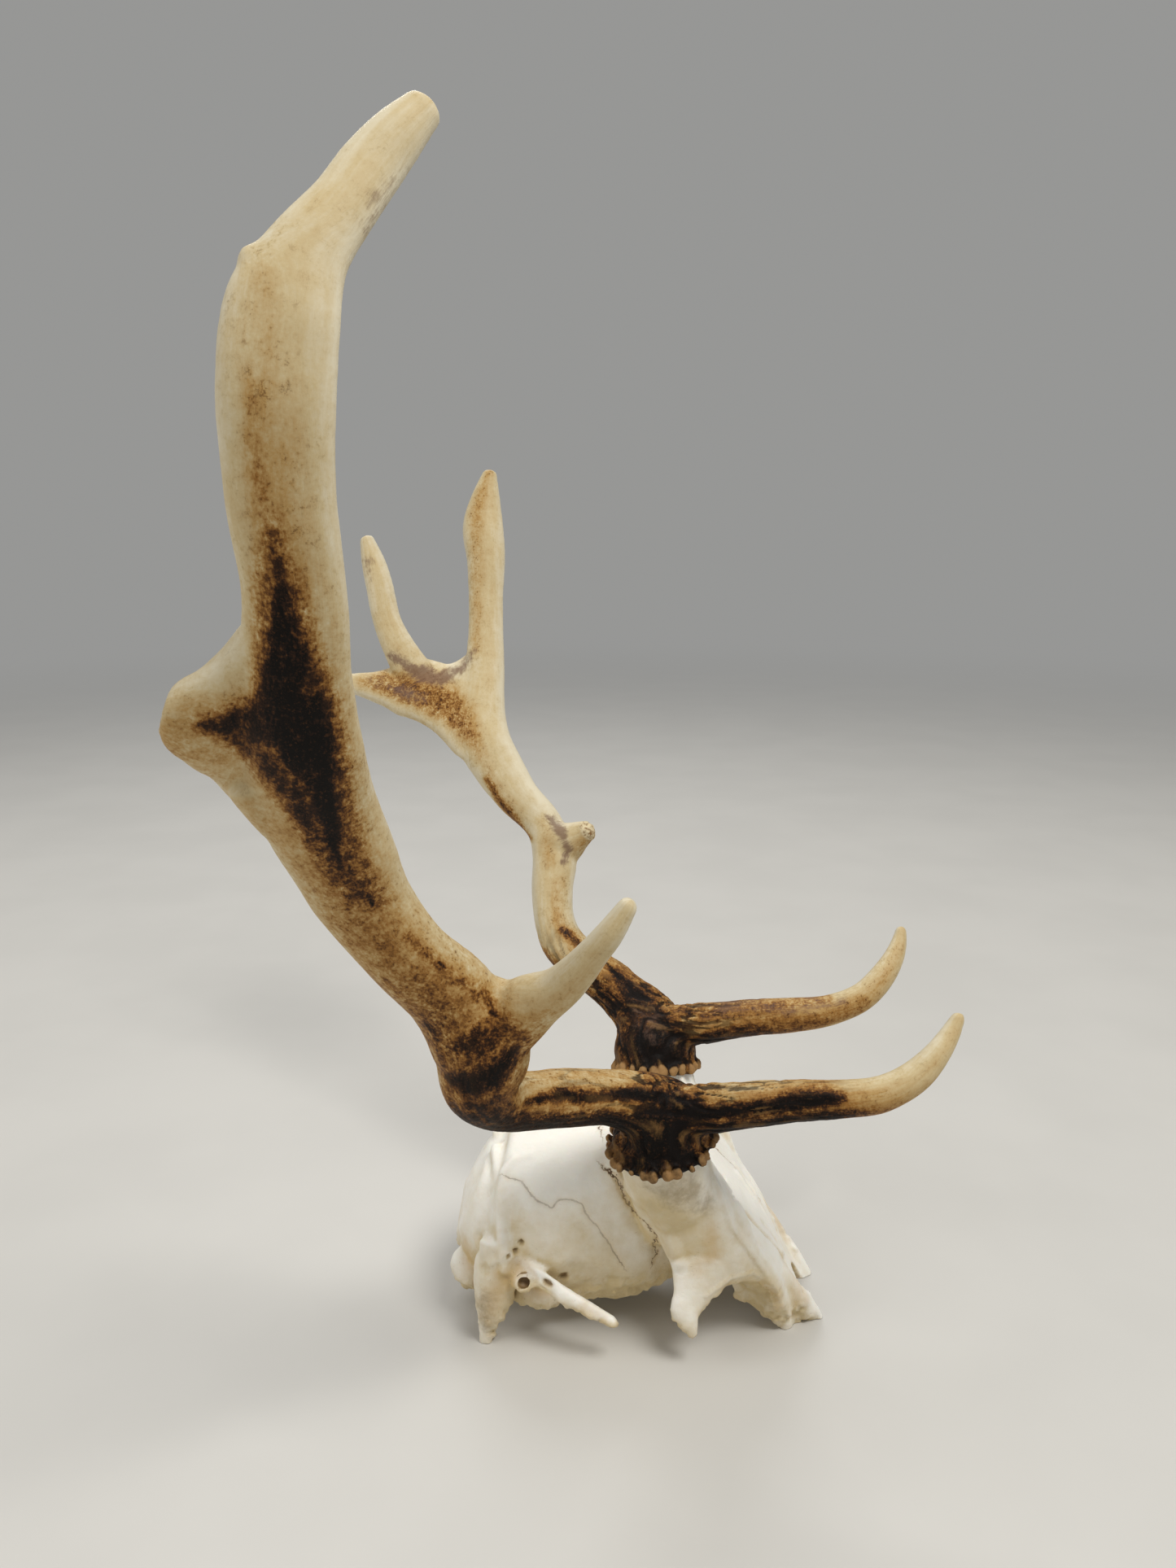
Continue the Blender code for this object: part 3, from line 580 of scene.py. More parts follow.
# A branch's stations are x, y, z, half the width and half the thickness. bark and warm say how
# rough and how tan the horn is, at millimetres along the branch, and begins is how far along the
# antler its grain starts. upright is the way of the width, where it isn't square to the path, and
# snapped is a place on the broken face and the way that stays.
rightAntler = {
    "branches": {
        "beam": {
            "stations": [
                (32, -42, 106, 22, 21), (31, -44, 114.5, 20.5, 19.5), (24, -49, 124.5, 15, 14.5),
                (9, -57, 133, 11.4, 11.4), (-8, -67, 138, 11.8, 11.3), (-23, -79, 143, 11.6, 11),
                (-35, -89, 149, 12.5, 11.5), (-40, -97, 159, 14.6, 13), (-39, -101, 175, 18, 14.5),
                (-47.5, -106, 197, 16.4, 13), (-63.5, -119, 220.5, 15, 10.8),
                (-74, -127, 240, 16, 11), (-80, -138, 261, 17.8, 11.5), (-84, -150, 281, 19, 11.7),
                (-84, -162, 299, 18.5, 10.8), (-82, -174, 321, 16.3, 9),
                (-78.5, -184, 345, 14.3, 7.6), (-79, -192, 373, 14.4, 7.3),
                (-77.5, -195, 398, 14.9, 7.3), (-75, -193, 417, 14.4, 7),
                (-69, -188, 431, 10.4, 6.2), (-61, -181, 443, 8.6, 5.8),
                (-55, -175, 453, 8.3, 5.6), (-48, -170, 463, 6.8, 5), (-42, -166, 470, 5.2, 4),
            ],
            "bark": ((0, 1.0), (25, 0.9), (50, 0.45), (90, 0.4), (130, 0.3), (190, 0.1), (420, 0.02)),
            "warm": ((0, 1.2), (60, 0.95), (110, 0.85), (200, 0.65), (300, 0.5), (360, 0.5), (470, 0.3)),
            "begins": 0,
        },
        "brow": {
            "stations": [
                (28, -46, 118, 13, 12), (42, -51, 124, 11, 10.5), (56, -56, 128, 10, 9.5),
                (84, -64, 135, 8.6, 8.3), (102, -68, 138, 7.7, 7.4), (118, -69, 141, 7.3, 6.9),
                (131, -67, 147, 6.7, 6.4), (141, -63, 156, 5.2, 5), (148, -58, 164, 3.8, 3.5),
                (151, -56, 169, 2.6, 2.4),
            ],
            "bark": ((0, 0.9), (40, 0.7), (75, 0.4), (95, 0.12), (150, 0.0)),
            "warm": ((0, 1.3), (80, 1.2), (110, 0.6), (150, 0.5)),
            "begins": 12,
        },
        "trez": {
            "stations": [
                (-41, -100, 176, 13, 12), (-31, -103, 186, 13.5, 11), (-21, -108, 196, 11.5, 9),
                (-11, -114, 204, 8.2, 7.8), (-4, -120, 213, 6.8, 6.2), (2, -125, 222, 5.7, 5.2),
                (8, -128, 231, 4.8, 4.5), (14, -129, 241, 3.2, 3.2),
            ],
            "bark": ((0, 0.25), (30, 0.08), (90, 0.0)),
            "warm": ((0, 0.85), (25, 0.8), (45, 0.5), (90, 0.42)),
            "begins": 120,
        },
        "rear": {
            "stations": [
                (-91, -159, 309, 37.5, 9), (-96, -160, 308, 39.5, 9.5),
                (-100, -163, 309.5, 37.8, 9.6), (-102, -165, 310, 33.5, 9.4),
                (-105, -166, 309.5, 27.5, 9), (-108, -168, 309.3, 22.3, 8.5),
                (-111, -170, 309.2, 19, 8), (-114, -171, 310, 15.9, 7.6),
                (-117, -172, 310.5, 13, 7), (-119, -172, 311, 10.3, 6.2),
            ],
            "upright": (0.27, -0.5, 0.83),
            "snapped": ((-120, -172, 311.5), (0.93, 0.1, -0.36)),
            "bark": ((0, 0.05), (40, 0.1)),
            "warm": ((0, 0.5), (40, 0.75)),
            "begins": 290,
        },
        "webFoot": {
            "stations": [
                (-90, -141, 261, 5, 5), (-93.5, -145, 268.7, 6, 6), (-96.5, -149, 275.3, 7, 6.5),
                (-99.5, -153, 282, 7, 7), (-102, -157, 288.5, 7, 7),
            ],
            "bark": ((0, 0.07), (30, 0.06)),
            "warm": ((0, 0.55), (30, 0.5)),
            "begins": 250,
        },
        "crotchFill": {
            "stations": [
                (-34.5, -105, 200.7, 5.5, 5.5), (-31, -105.5, 198.9, 5.5, 5.5),
                (-27, -106.5, 198.7, 5.5, 5.5),
            ],
            "bark": ((0, 0.12), (10, 0.08)),
            "warm": ((0, 0.8), (10, 0.75)),
            "begins": 130,
        },
        "shoulder": {
            "stations": [
                (-75, -190, 418, 8, 6), (-80.5, -191, 425, 6.6, 5.5),
                (-83.5, -191, 429.5, 3.4, 3.6),
            ],
            "bark": ((0, 0.02), (10, 0.02)),
            "warm": ((0, 0.4), (10, 0.4)),
            "begins": 400,
        },
    },
    "burr": {
        "foot": (32, -42, 102.3),
        "lean": (-0.18, -0.14, 1.0),
        "reach": 24.5,
        "pearls": 27,
        "pearlRadius": 1.9,
        "rubbed": 0.75,  # how pale the pearls are
        "seed": 7,
    },
    "nodes": [
        "right_lower_beam", "right_brow_tine", "right_trez_tine", "right_upper_beam",
        "right_rear_tine",
    ],
    # strokes: how strong, how soft in mm, and pixels of the photograph with half widths in mm
    "stainAndShade": [
        (0.2, 10, [(308, 470, 1), (312, 540, 2), (318, 600, 2.5), (328, 650, 3)]),
        (0.5, 13, [(336, 640, 0.6), (338, 708, 5), (350, 789, 8), (362, 870, 11)]),
        (0.5, 13, [(362, 870, 11), (380, 951, 10), (405, 1032, 8), (440, 1097, 5)]),
        (0.95, 9, [(340, 690, 1), (346, 750, 3.6), (356, 800, 5), (374, 860, 7), (388, 930, 6.6)]),
        (0.95, 9, [(388, 930, 6.6), (400, 990, 4.6), (412, 1045, 2.4), (420, 1075, 0.8)]),
        (0.9, 9, [(346, 750, 4), (350, 800, 6), (346, 850, 7.5), (348, 890, 8), (368, 935, 6)]),
        (0.78, 9, [(365, 882, 6.5), (325, 892, 8), (290, 894, 6.6), (246, 892, 1.6)]),
        (0.66, 10, [(296, 915, 3.6), (328, 938, 6), (358, 975, 6), (388, 1030, 2.6)]),
        (0.45, 7, [(436, 1030, 1.4), (448, 1062, 2.2), (440, 1092, 2.4), (470, 1110, 1.6)]),
        (0.9, 2, [(452, 1098, 0.5), (458, 1112, 0.6)]),
        (0.35, 6, [(500, 1150, 1), (536, 1185, 1.6), (560, 1205, 1.6), (594, 1226, 2.2), (606, 1240, 1.6)]),
        (0.9, 2, [(540, 1183, 0.5), (546, 1189, 0.5)]),
        (0.9, 2, [(603, 1243, 0.5), (610, 1249, 0.6)]),
        (0.6, 7, [(474, 1205, 0.8), (508, 1236, 1.4), (535, 1275, 2), (548, 1320, 3)]),
        (0.55, 13, [(560, 1290, 3), (590, 1282, 7), (616, 1262, 5)]),
        (0.85, 12, [(552, 1322, 3.4), (578, 1336, 6.6), (602, 1326, 6.6), (630, 1294, 2.6)]),
        (0.75, 9, [(566, 1358, 2.4), (592, 1362, 3.4), (612, 1350, 2.6)]),
        (0.8, 4, [(646, 1355, 0.6), (689, 1346, 1.8), (720, 1349, 1.8), (753, 1346, 1.6), (789, 1346, 2.2)]),
        (0.85, 5, [(789, 1346, 2.2), (824, 1353, 3.4), (850, 1364, 4), (874, 1368, 2.6)]),
        (0.35, 6, [(640, 1378, 1.4), (700, 1384, 1.8), (745, 1388, 2.2)]),
        (0.72, 9, [(792, 1375, 4), (824, 1380, 9), (822, 1404, 13), (815, 1432, 19)]),
        (0.85, 5, [(874, 1368, 2.6), (917, 1362, 2), (971, 1355, 2.8), (1015, 1350, 2.4), (1036, 1348, 0.8)]),
    ],
    "gold": [
        (0.55, 14, [(322, 250, 1), (316, 330, 4), (318, 400, 6), (326, 480, 7), (334, 560, 8)]),
        (0.7, 14, [(334, 560, 8), (340, 640, 7), (352, 720, 9), (364, 820, 12), (392, 940, 12)]),
        (0.9, 14, [(392, 940, 12), (420, 1060, 10), (460, 1130, 11), (520, 1180, 12), (580, 1225, 11)]),
        (0.6, 12, [(300, 880, 8), (262, 872, 5), (228, 866, 4)]),
        (0.9, 14, [(560, 1270, 12), (610, 1290, 12)]),
        (0.85, 9, [(645, 1326, 4.6), (720, 1324, 4.6), (790, 1330, 4)]),
        (1, 9, [(640, 1368, 4), (700, 1368, 4.6), (770, 1374, 5), (815, 1395, 9)]),
        (0.5, 7, [(860, 1336, 1.6), (930, 1334, 1.8), (1010, 1332, 1.6)]),
        (0.8, 7, [(890, 1376, 1.6), (960, 1371, 2.2), (1040, 1362, 3), (1062, 1356, 2)]),
    ],
    "plum": [(0.5, 8, [(498, 212, 1), (470, 248, 1.6), (452, 280, 1)])],
    "raw": [(-121, -172, 311, 5.5)],
}

leftAntler = {
    "branches": {
        "beam": {
            "stations": [
                (34, 41, 99, 20, 19), (33, 44, 109, 20, 19), (29, 51, 119, 16.5, 15.5),
                (20, 59, 127, 12.8, 12.2), (8, 68, 135, 11.6, 11), (-4, 77, 141, 11.2, 10.7),
                (-13, 84, 148, 11.2, 10.6), (-18, 92, 160, 10.5, 9.6), (-19, 100, 174, 11, 9.4),
                (-18, 107, 188, 11.8, 9), (-22, 113, 201, 10.5, 7.6), (-40, 129, 219, 12.3, 7.4),
                (-50, 140, 231, 14.2, 7.8), (-59, 152, 245, 15.3, 7.8), (-61, 167, 262, 13.4, 7.6),
                (-60, 181, 282, 11.4, 7), (-60, 197, 318, 10, 6.2), (-60, 204, 342, 11.3, 6.8),
                (-62, 210, 363, 12, 6.8), (-60, 215, 381, 8, 5), (-58, 218, 393, 4, 3.4),
            ],
            "bark": ((0, 1), (50, 0.9), (75, 0.55), (98, 0.18), (115, 0.05), (400, 0)),
            "warm": ((0, 0.9), (70, 0.6), (100, 0.4), (170, 0.3), (230, 0.4), (300, 0.45), (420, 0.6)),
            "begins": 0,
        },
        "brow": {
            "stations": [
                (30, 44, 114, 13, 12), (45, 41, 120, 11, 10.5), (61, 38, 124, 9.8, 9.2),
                (78, 36, 127, 9, 8.4), (100, 33, 130, 8.3, 8), (119, 33, 133, 7.4, 7),
                (134, 35, 139, 6.8, 6.5), (144, 40, 147, 6.2, 5.9), (151, 46, 155, 5, 4.8),
                (155, 52, 163, 3.4, 3.2), (156, 54, 167, 2.5, 2.4),
            ],
            "bark": ((0, 0.9), (35, 0.6), (60, 0.25), (90, 0.06), (150, 0)),
            "warm": ((0, 1.2), (80, 1), (120, 0.6), (150, 0.45)),
            "begins": 12,
        },
        "trez": {
            "stations": [
                (-20, 111, 192, 13, 9), (-11, 108, 197, 11.5, 8.5), (-5, 106, 201, 8, 6.4),
                (1, 104, 205, 5.2, 4.6),
            ],
            "bark": ((0, 0.1), (30, 0.2)),
            "warm": ((0, 0.6), (30, 0.6)),
            "begins": 130,
        },
        "rear": {
            "stations": [
                (-68, 167, 261.5, 36.5, 6.5), (-71, 168, 261, 34.5, 7),
                (-76, 170, 260.5, 30.5, 7.4), (-82, 172, 262.5, 25.6, 7.4),
                (-88, 175, 265.5, 23.3, 7.2), (-96, 178, 268.5, 21.5, 7),
                (-103, 181, 269, 19.4, 6.8), (-111, 183, 268.5, 16.6, 6.5),
                (-118, 185, 269, 13, 6.1), (-126, 187, 269.5, 10, 5.4),
                (-136, 190, 270.5, 7.4, 4.6), (-148, 194, 271, 5, 3.6), (-157, 196, 271, 2.9, 2.6),
            ],
            "upright": (0, 0.62, 0.79),
            "bark": ((0, 0.1), (90, 0)),
            "warm": ((0, 0.6), (90, 0.4)),
            "begins": 230,
        },
        "rearTine": {
            "stations": [
                (-101, 183, 276, 12, 6.1), (-110, 188, 291, 9.8, 5.4), (-118, 194, 307, 8.4, 5),
                (-123, 200, 328, 8.3, 5), (-127, 205, 342, 7.2, 4.8), (-131, 209, 355, 4.2, 3.6),
            ],
            "bark": ((0, 0.08), (90, 0)),
            "warm": ((0, 0.6), (90, 0.3)),
            "begins": 270,
        },
    },
    "burr": {
        "foot": (34, 41, 96.3),
        "lean": (0, 0.34, 1),
        "reach": 22.5,
        "pearls": 25,
        "pearlRadius": 1.8,
        "rubbed": 1,
        "seed": 11,
    },
    "nodes": [
        "left_lower_beam", "left_brow_tine", "left_trez_tine", "left_upper_beam",
        "left_rear_branch", "left_rear_tine",
    ],
    "stainAndShade": [
        (0.8, 8, [(812, 1300, 16), (800, 1268, 11), (782, 1232, 7), (762, 1202, 4), (742, 1184, 1.6)]),
        (0.85, 5, [(690, 1143, 0.8), (704, 1153, 1.4), (722, 1168, 1)]),
        (0.4, 6, [(820, 1250, 5), (850, 1240, 3), (900, 1234, 2), (960, 1236, 1.4), (1020, 1228, 0.8)]),
        (0.7, 5, [(846, 1292, 4), (872, 1272, 2.6), (900, 1266, 2), (940, 1262, 1)]),
        (0.8, 6, [(599, 958, 0.8), (613, 984, 2), (634, 1010, 2.2), (649, 1028, 1.2)]),
        (0.95, 3, [(720, 1012, 0.8), (728, 1022, 1.2)]),
        (0.26, 10, [(446, 838, 3), (500, 850, 7), (550, 866, 8), (578, 905, 3)]),
    ],
    "gold": [
        (0.9, 7, [(690, 1085, 3.4), (686, 1130, 4), (704, 1165, 4), (730, 1205, 4), (760, 1245, 4)]),
        (0.8, 5, [(760, 1245, 4), (772, 1270, 3)]),
        (0.9, 6, [(600, 580, 2), (584, 630, 4), (584, 720, 4), (584, 800, 3)]),
        (1, 10, [(470, 832, 6), (530, 850, 12), (566, 880, 9), (588, 930, 5)]),
        (0.7, 7, [(588, 930, 4), (612, 970, 3.4), (640, 1004, 3)]),
        (0.7, 7, [(668, 1010, 3), (676, 1060, 3)]),
        (1, 4, [(829, 1298, 0.8), (832, 1276, 1.2), (844, 1262, 1.8), (869, 1250, 2), (896, 1248, 2.2)]),
        (1, 5, [(896, 1248, 2.2), (940, 1250, 3), (1000, 1256, 3.4), (1060, 1235, 5)]),
        (0.6, 12, [(1075, 1215, 5), (1098, 1170, 4)]),
    ],
    "plum": [
        (0.9, 9, [(482, 806, 3), (512, 826, 4.4), (541, 836, 4), (569, 820, 3), (583, 800, 1.6)]),
        (0.7, 10, [(450, 834, 2.4), (485, 846, 3.6), (520, 858, 3.6)]),
        # this weak plum stroke greys the lower beam: partly its purple-grey horn, partly a painted sheen
        (0.2, 8, [(812, 1300, 12), (800, 1268, 9), (782, 1232, 6), (762, 1202, 3)]),
        (0.9, 6, [(672, 1004, 1.6), (690, 1022, 3), (698, 1044, 3), (692, 1058, 1.6)]),
        (0.5, 7, [(855, 1246, 2), (900, 1238, 3), (960, 1240, 2.6), (1035, 1230, 2)]),
        (0.45, 9, [(452, 690, 3), (462, 750, 2.4)]),
    ],
    "raw": [(1, 104, 205, 7)],
}

antlerMake = {
    "bodyVoxel": 1.3,  # mm, the grain of the body in which beam and tines grow together
    "bodyRounds": 14,
    "skinVoxel": 0.9,
    "skinRounds": 2,
    "footGap": 0.3,  # between the antler's foot and the bone, as in the solids
    "girth": 10.0,  # mm, so that the grain is as wide on a thin tine as on a beam
    "forkReach": 5.0,  # mm over which the grain of two branches mingles
    "collar": ((-3.0, 0.78), (1.0, 0.86), (4.0, 0.87), (8.0, 0.78), (13.0, 0.66)),
    # how much the burr's pearls differ from each other
    "pearlTurns": (-0.16, 0.16),
    "pearlSizes": (0.75, 1.15),
    "pearlInsets": (0.8, 1.0),
    "pearlHeights": (2.4, 3.6),  # mm
    "pearlStretches": (1.3, 1.9),
    # noises: size in mm, seed and octaves, with an amount in mm first where one is needed
    "bends": ((2.2, 14.0, 21), (2.2, 14.0, 22), (5.0, 18.0, 23)),
    "grooves": ((2.3, 2.3, 20.0), 24),
    "hairs": ((1.2, 1.2, 8.0), 25),
    "lumps": (4.2, 26, 2),
    "lumpsEverywhere": 0.35,  # against 1 near the burr
    "waves": ((0.3, 22.0, 27, 2),),
    "sponge": ((0.7, 2.6, 28, 2),),
    "grooveWidth": 0.17,  # of its noise
    "hairShare": 0.45,
    "crestShare": 0.4,
    "grooveShare": 0.8,
    "reliefHeight": 0.9,  # mm, in the roughest horn
    "lumpHeight": 0.5,
    # where things fade: heights above the foot in mm, unless another measure is given
    "nearBurrEnds": (6.0, 16.0),
    "nearBurrReach": 5,  # mm beyond the burr's own
    "reliefBegins": (0.0, 1.2),
    "pearlsEnd": (4.5, 8.0),
    "pearlEdge": (-2.3, -0.9),  # mm from the burr's reach
    "rawEdge": (-1.0, 2.5),  # mm inside the broken spot
    "stainedAndShadedUnder": 0.78,  # how dark the undersides of the rough horn are: partly its stain, partly painted shade
    "stainedAndShadedTurn": (-0.65, 0.2),  # how far a side is turned up, -1 to 1
    "roughest": 0.6,  # how dark it is all round where the horn is roughest
    "roughestBark": (0.7, 0.98),
    "stainedAndShadedGain": 2.5,
    "grainUnit": 10,  # mm
}


def burrShape(burr):
    # a low collar, and round its edge a row of uneven pearls
    make = antlerMake
    bm = bmesh.new()
    axis = Vector(burr["lean"]).normalized()
    outwards = axis.orthogonal().normalized()
    foot = Vector(burr["foot"])
    collar = [
        (*(foot + axis * height), burr["reach"] * share, burr["reach"] * share)
        for height, share in make["collar"]
    ]
    addLoft(bm, collar)
    draw = np.random.default_rng(burr["seed"]).uniform
    for i in range(burr["pearls"]):
        share = (i + draw(*make["pearlTurns"])) / burr["pearls"]
        turn = Matrix.Rotation(2 * math.pi * share, 3, axis)
        size = burr["pearlRadius"] * draw(*make["pearlSizes"])
        reach = burr["reach"] - size * draw(*make["pearlInsets"])
        centre = foot + (turn @ outwards) * reach + axis * draw(*make["pearlHeights"])
        addBall(bm, centre, (size, size, size * draw(*make["pearlStretches"])), axis)
    return meshOf("burr", bm)


def branchShape(branch):
    bm = bmesh.new()
    addLoft(bm, branch["stations"], branch.get("upright"))
    mesh = meshOf("branch", bm)
    if "snapped" in branch:
        cutFlat(mesh, *branch["snapped"])
    return mesh


def branchPlaces(points, branch, step=2.0, batchSize=8000):
    # where each point lies along and round a branch, and how far it is outside it
    rows = smoothRows(branch["stations"], step)
    ways, wides, thicks = loftFrame(rows, branch.get("upright"))
    steps = np.linalg.norm(np.diff(rows[:, :3], axis=0), axis=1)
    lengths = np.concatenate([[0.0], np.cumsum(steps)])
    nearest = np.empty(len(points), int)
    for start in range(0, len(points), batchSize):
        batch = slice(start, start + batchSize)
        gaps = ((points[batch, None] - rows[None, :, :3]) ** 2).sum(2)
        nearest[batch] = gaps.argmin(1)
    away = points - rows[nearest, :3]
    along = lengths[nearest] + (away * ways[nearest]).sum(1)
    across = (away * wides[nearest]).sum(1) / rows[nearest, 3]
    through = (away * thicks[nearest]).sum(1) / rows[nearest, 4]
    ring = np.maximum(np.hypot(across, through), 1e-3)
    past = np.maximum(np.maximum(-along, along - lengths[-1]), 0.0)
    outside = np.hypot(np.maximum(ring - 1, 0) * rows[nearest, 3:5].min(1), past)
    return along, across / ring, through / ring, outside


def layOut(points, antler):
    # the flow of the grain, how barky, how warm, and how near an edge seen from the side, for rubbed paleness
    # and a painted rim highlight, mingled at the forks
    total = np.zeros(len(points))
    grain = np.zeros((len(points), 3))
    looks = np.zeros((len(points), 3))
    for branch in antler["branches"].values():
        along, across, through, outside = branchPlaces(points, branch)
        weight = np.exp(-outside / antlerMake["forkReach"]) + 1e-9
        girth = antlerMake["girth"]
        flow = np.stack([across * girth, through * girth, along + branch["begins"]], 1)
        bark = np.interp(along, *np.array(branch["bark"], float).T)
        warm = np.interp(along, *np.array(branch["warm"], float).T)
        total += weight
        grain += flow * weight[:, None]
        looks += np.stack([bark, warm, across**2], 1) * weight[:, None]
    return grain / total[:, None], looks / total[:, None]


def antlerShape(name, antler):
    make = antlerMake
    bm = bmesh.new()
    for branch in antler["branches"].values():
        bm.from_mesh(branchShape(branch))
    mesh = grownTogether(meshOf(name, bm, turnFaces=False), make["bodyVoxel"])
    evenOut(mesh, make["bodyRounds"])
    mesh = grownTogether(joinedTo(mesh, burrShape(antler["burr"])), make["skinVoxel"])
    evenOut(mesh, make["skinRounds"])
    return mesh


def makeAntler(name, antler, material):
    make = antlerMake
    burr = antler["burr"]
    mesh = antlerShape(name, antler)
    lean = np.array(Vector(burr["lean"]).normalized())
    foot = np.array(burr["foot"]) + lean * make["footGap"]
    cutFlat(mesh, foot, lean)

    points = pointsOf(mesh)
    normals = normalsOf(mesh)
    grain, looks = layOut(points, antler)
    bark, warm, rubbedAndLitEdge = looks.T
    aboveFoot = (points - foot) @ lean
    outwards = np.linalg.norm(points - foot - aboveFoot[:, None] * lean, axis=1)

    # crooked grooves run between flat crests, with fine hairs, and small lumps sit near the burr
    bends = [amount * noiseAt(grain, *noise) for amount, *noise in make["bends"]]
    flow = grain + np.stack(bends, 1)
    coarse = noiseAt(flow, *make["grooves"])
    groove = np.exp(-((coarse / make["grooveWidth"]) ** 2))
    relief = make["hairShare"] * noiseAt(flow, *make["hairs"])
    relief = relief + make["crestShare"] * np.abs(coarse) - make["grooveShare"] * groove
    nearBurr = fadeOut(aboveFoot, *make["nearBurrEnds"])
    nearBurr *= outwards < burr["reach"] + make["nearBurrReach"]
    lumps = noiseAt(points, *make["lumps"]) * (make["lumpsEverywhere"] + nearBurr)
    raw = dotted(points, antler["raw"], *make["rawEdge"])
    height = bark * (make["reliefHeight"] * relief + make["lumpHeight"] * lumps)
    height += unevenness(points, make["waves"])
    height += raw * unevenness(points, make["sponge"])
    height *= smoothStep(aboveFoot, *make["reliefBegins"])
    movePoints(mesh, points + normals * height[:, None])

    # the strokes, the stain that the rough horn has besides, and painted shade on its undersides, partly
    # stain too
    tree = treeOf(mesh)
    stainAndShade, gold, plum = [brushed(points, tree, antler[mark]) for mark in ("stainAndShade", "gold", "plum")]
    # painted shade on the undersides of the rough horn, partly its real stain
    stainedAndShadedUnder = fadeOut(normals[:, 2], *make["stainedAndShadedTurn"])
    stainedAndShadedUnder *= np.clip(bark * make["stainedAndShadedGain"], 0, 1)
    stainAndShade = np.maximum(stainAndShade, make["stainedAndShadedUnder"] * stainedAndShadedUnder)
    stainAndShade = np.maximum(stainAndShade, make["roughest"] * smoothStep(bark, *make["roughestBark"]))
    inner, outer = make["pearlEdge"]
    pearl = smoothStep(outwards, burr["reach"] + inner, burr["reach"] + outer)
    pearl *= fadeOut(aboveFoot, *make["pearlsEnd"]) * burr["rubbed"]
    store(mesh, "grain", grain / make["grainUnit"])
    store(mesh, "tint", np.stack([stainAndShade, gold, plum], 1))
    store(mesh, "look", np.stack([warm, rubbedAndLitEdge, bark], 1))
    store(mesh, "form", np.stack([relief, pearl, raw], 1))
    dress(name, mesh, material, antler["nodes"])


horn = antlerMaterial()
makeAntler("right_antler", rightAntler, horn)
makeAntler("left_antler", leftAntler, horn)

boneFinish = {
    "white": colour(246, 243, 234),
    "shade": colour(208, 188, 144),
    "grease": colour(204, 172, 118),
    "grey": colour(126, 110, 86),
    "seam": colour(92, 66, 40),
    "dirtAndShade": colour(140, 112, 76),
    "hollowShade": colour(132, 104, 68),
    # noises: scale, detail, roughness and stretch
    "cloud": (34.0, 4.0, 0.55),
    "mottle": (150.0, 5.0, 0.62),
    "grit": (700.0, 3.0, 0.6),
    "fibre": (260.0, 4.0, 0.65, (3, 1, 1)),
    "zigzag": (430.0, 1.0, 0.5),
    "fineZigzag": (1100.0, 0.0, 0.5),
    "wander": (90.0, 2.0, 0.5),
    "roughness": 0.46,
    "bumpDepth": 0.0011,  # m
    "constants": {
        "Specular IOR Level": 0.35,
        "Subsurface Weight": 0.12,
        "Subsurface Radius": (1.0, 0.6, 0.35),
        "Subsurface Scale": 0.003,
    },
}


def boneMaterial():
    material, nodes, shader = newMaterial("bone", boneFinish["constants"])
    tones = boneFinish
    place = nodes.node("ShaderNodeTexCoord", output="Object")
    gap, jag, shown = nodes.parts("seam")
    grey, grease, turned = nodes.parts("tint")
    raw, pitted, closed = nodes.parts("form")
    kinds = ("cloud", "mottle", "grit", "fibre", "zigzag", "fineZigzag", "wander")
    cloud, mottle, grit, fibre, zigzag, fineZigzag, wander = [
        nodes.ripple(place, *tones[kind]) for kind in kinds
    ]

    # white on top; painted shade makes it yellower down the sides and in the hollows
    shadeAndTone = turned * 0.78 + closed * 1.3 + cloud * 0.2 + mottle * 0.1
    base = shadeAndTone.ramp(0.05, 0.95).mix(tones["white"], tones["shade"])
    # grease marks, with painted shade in the hollows
    greaseAndShade = grease + closed * 0.5 + cloud * 0.22 + mottle * 0.14
    base = (greaseAndShade.ramp(0.35, 1.25) * 0.6).mix(base, tones["grease"])
    speckled = grey * 0.9 + mottle * 0.26 + grit * 0.12 + cloud * 0.2
    base = (speckled.ramp(0.3, 1.2) * grey.ramp(0.0, 0.3) * 0.6).mix(base, tones["grey"])
    # painted shade deep in the hollows
    base = (closed.ramp(0.28, 0.85) * 0.7).mix(base, tones["hollowShade"])
    # dark pores: on broken and greasy bone, and as painted shade on the undersides and in the hollows
    wearAndShade = turned * 0.25 + raw * 0.5 + grease * 0.4 + closed * 0.8 + 0.06
    pores = (-grit).ramp(0.55, 0.95) * wearAndShade
    base = (pores * 0.6).mix(base, tones["dirtAndShade"])
    base = ((raw * 0.5 + mottle * 0.3).ramp(0.25, 1.0) * 0.7).mix(base, tones["shade"])
    # painted shade in the pits and round the ear hole
    base = (pitted * 0.8).mix(base, tones["dirtAndShade"])

    # zigzag seams, finer than the mesh
    zigzag = zigzag * 0.25 + fineZigzag * 0.06
    off = abs(gap + zigzag * jag * 5.0 + wander * 0.5)
    line = (1 - off.ramp(0.14, 0.55)) * shown
    halo = (1 - off.ramp(0.3, 2.2)) * shown
    base = (halo * 0.3).mix(base, tones["grease"])
    base = (line * (mottle.ramp(-0.6, 0.5) * 0.4 + 0.55)).mix(base, tones["seam"])
    plug(base, shader, "Base Color")
    plug(tones["roughness"] + mottle * 0.05 + turned * 0.08 + raw * 0.15, shader, "Roughness")
    height = mottle * 0.16 + fibre * 0.07 + grit * (0.05 + raw * 0.16) - line * 0.7
    plug(height.bump(tones["bumpDepth"]), shader, "Normal")
    return material


# A station is x, y, z, half the size along x and z, and half the size across. What is named for
# the right side is mirrored on the left.

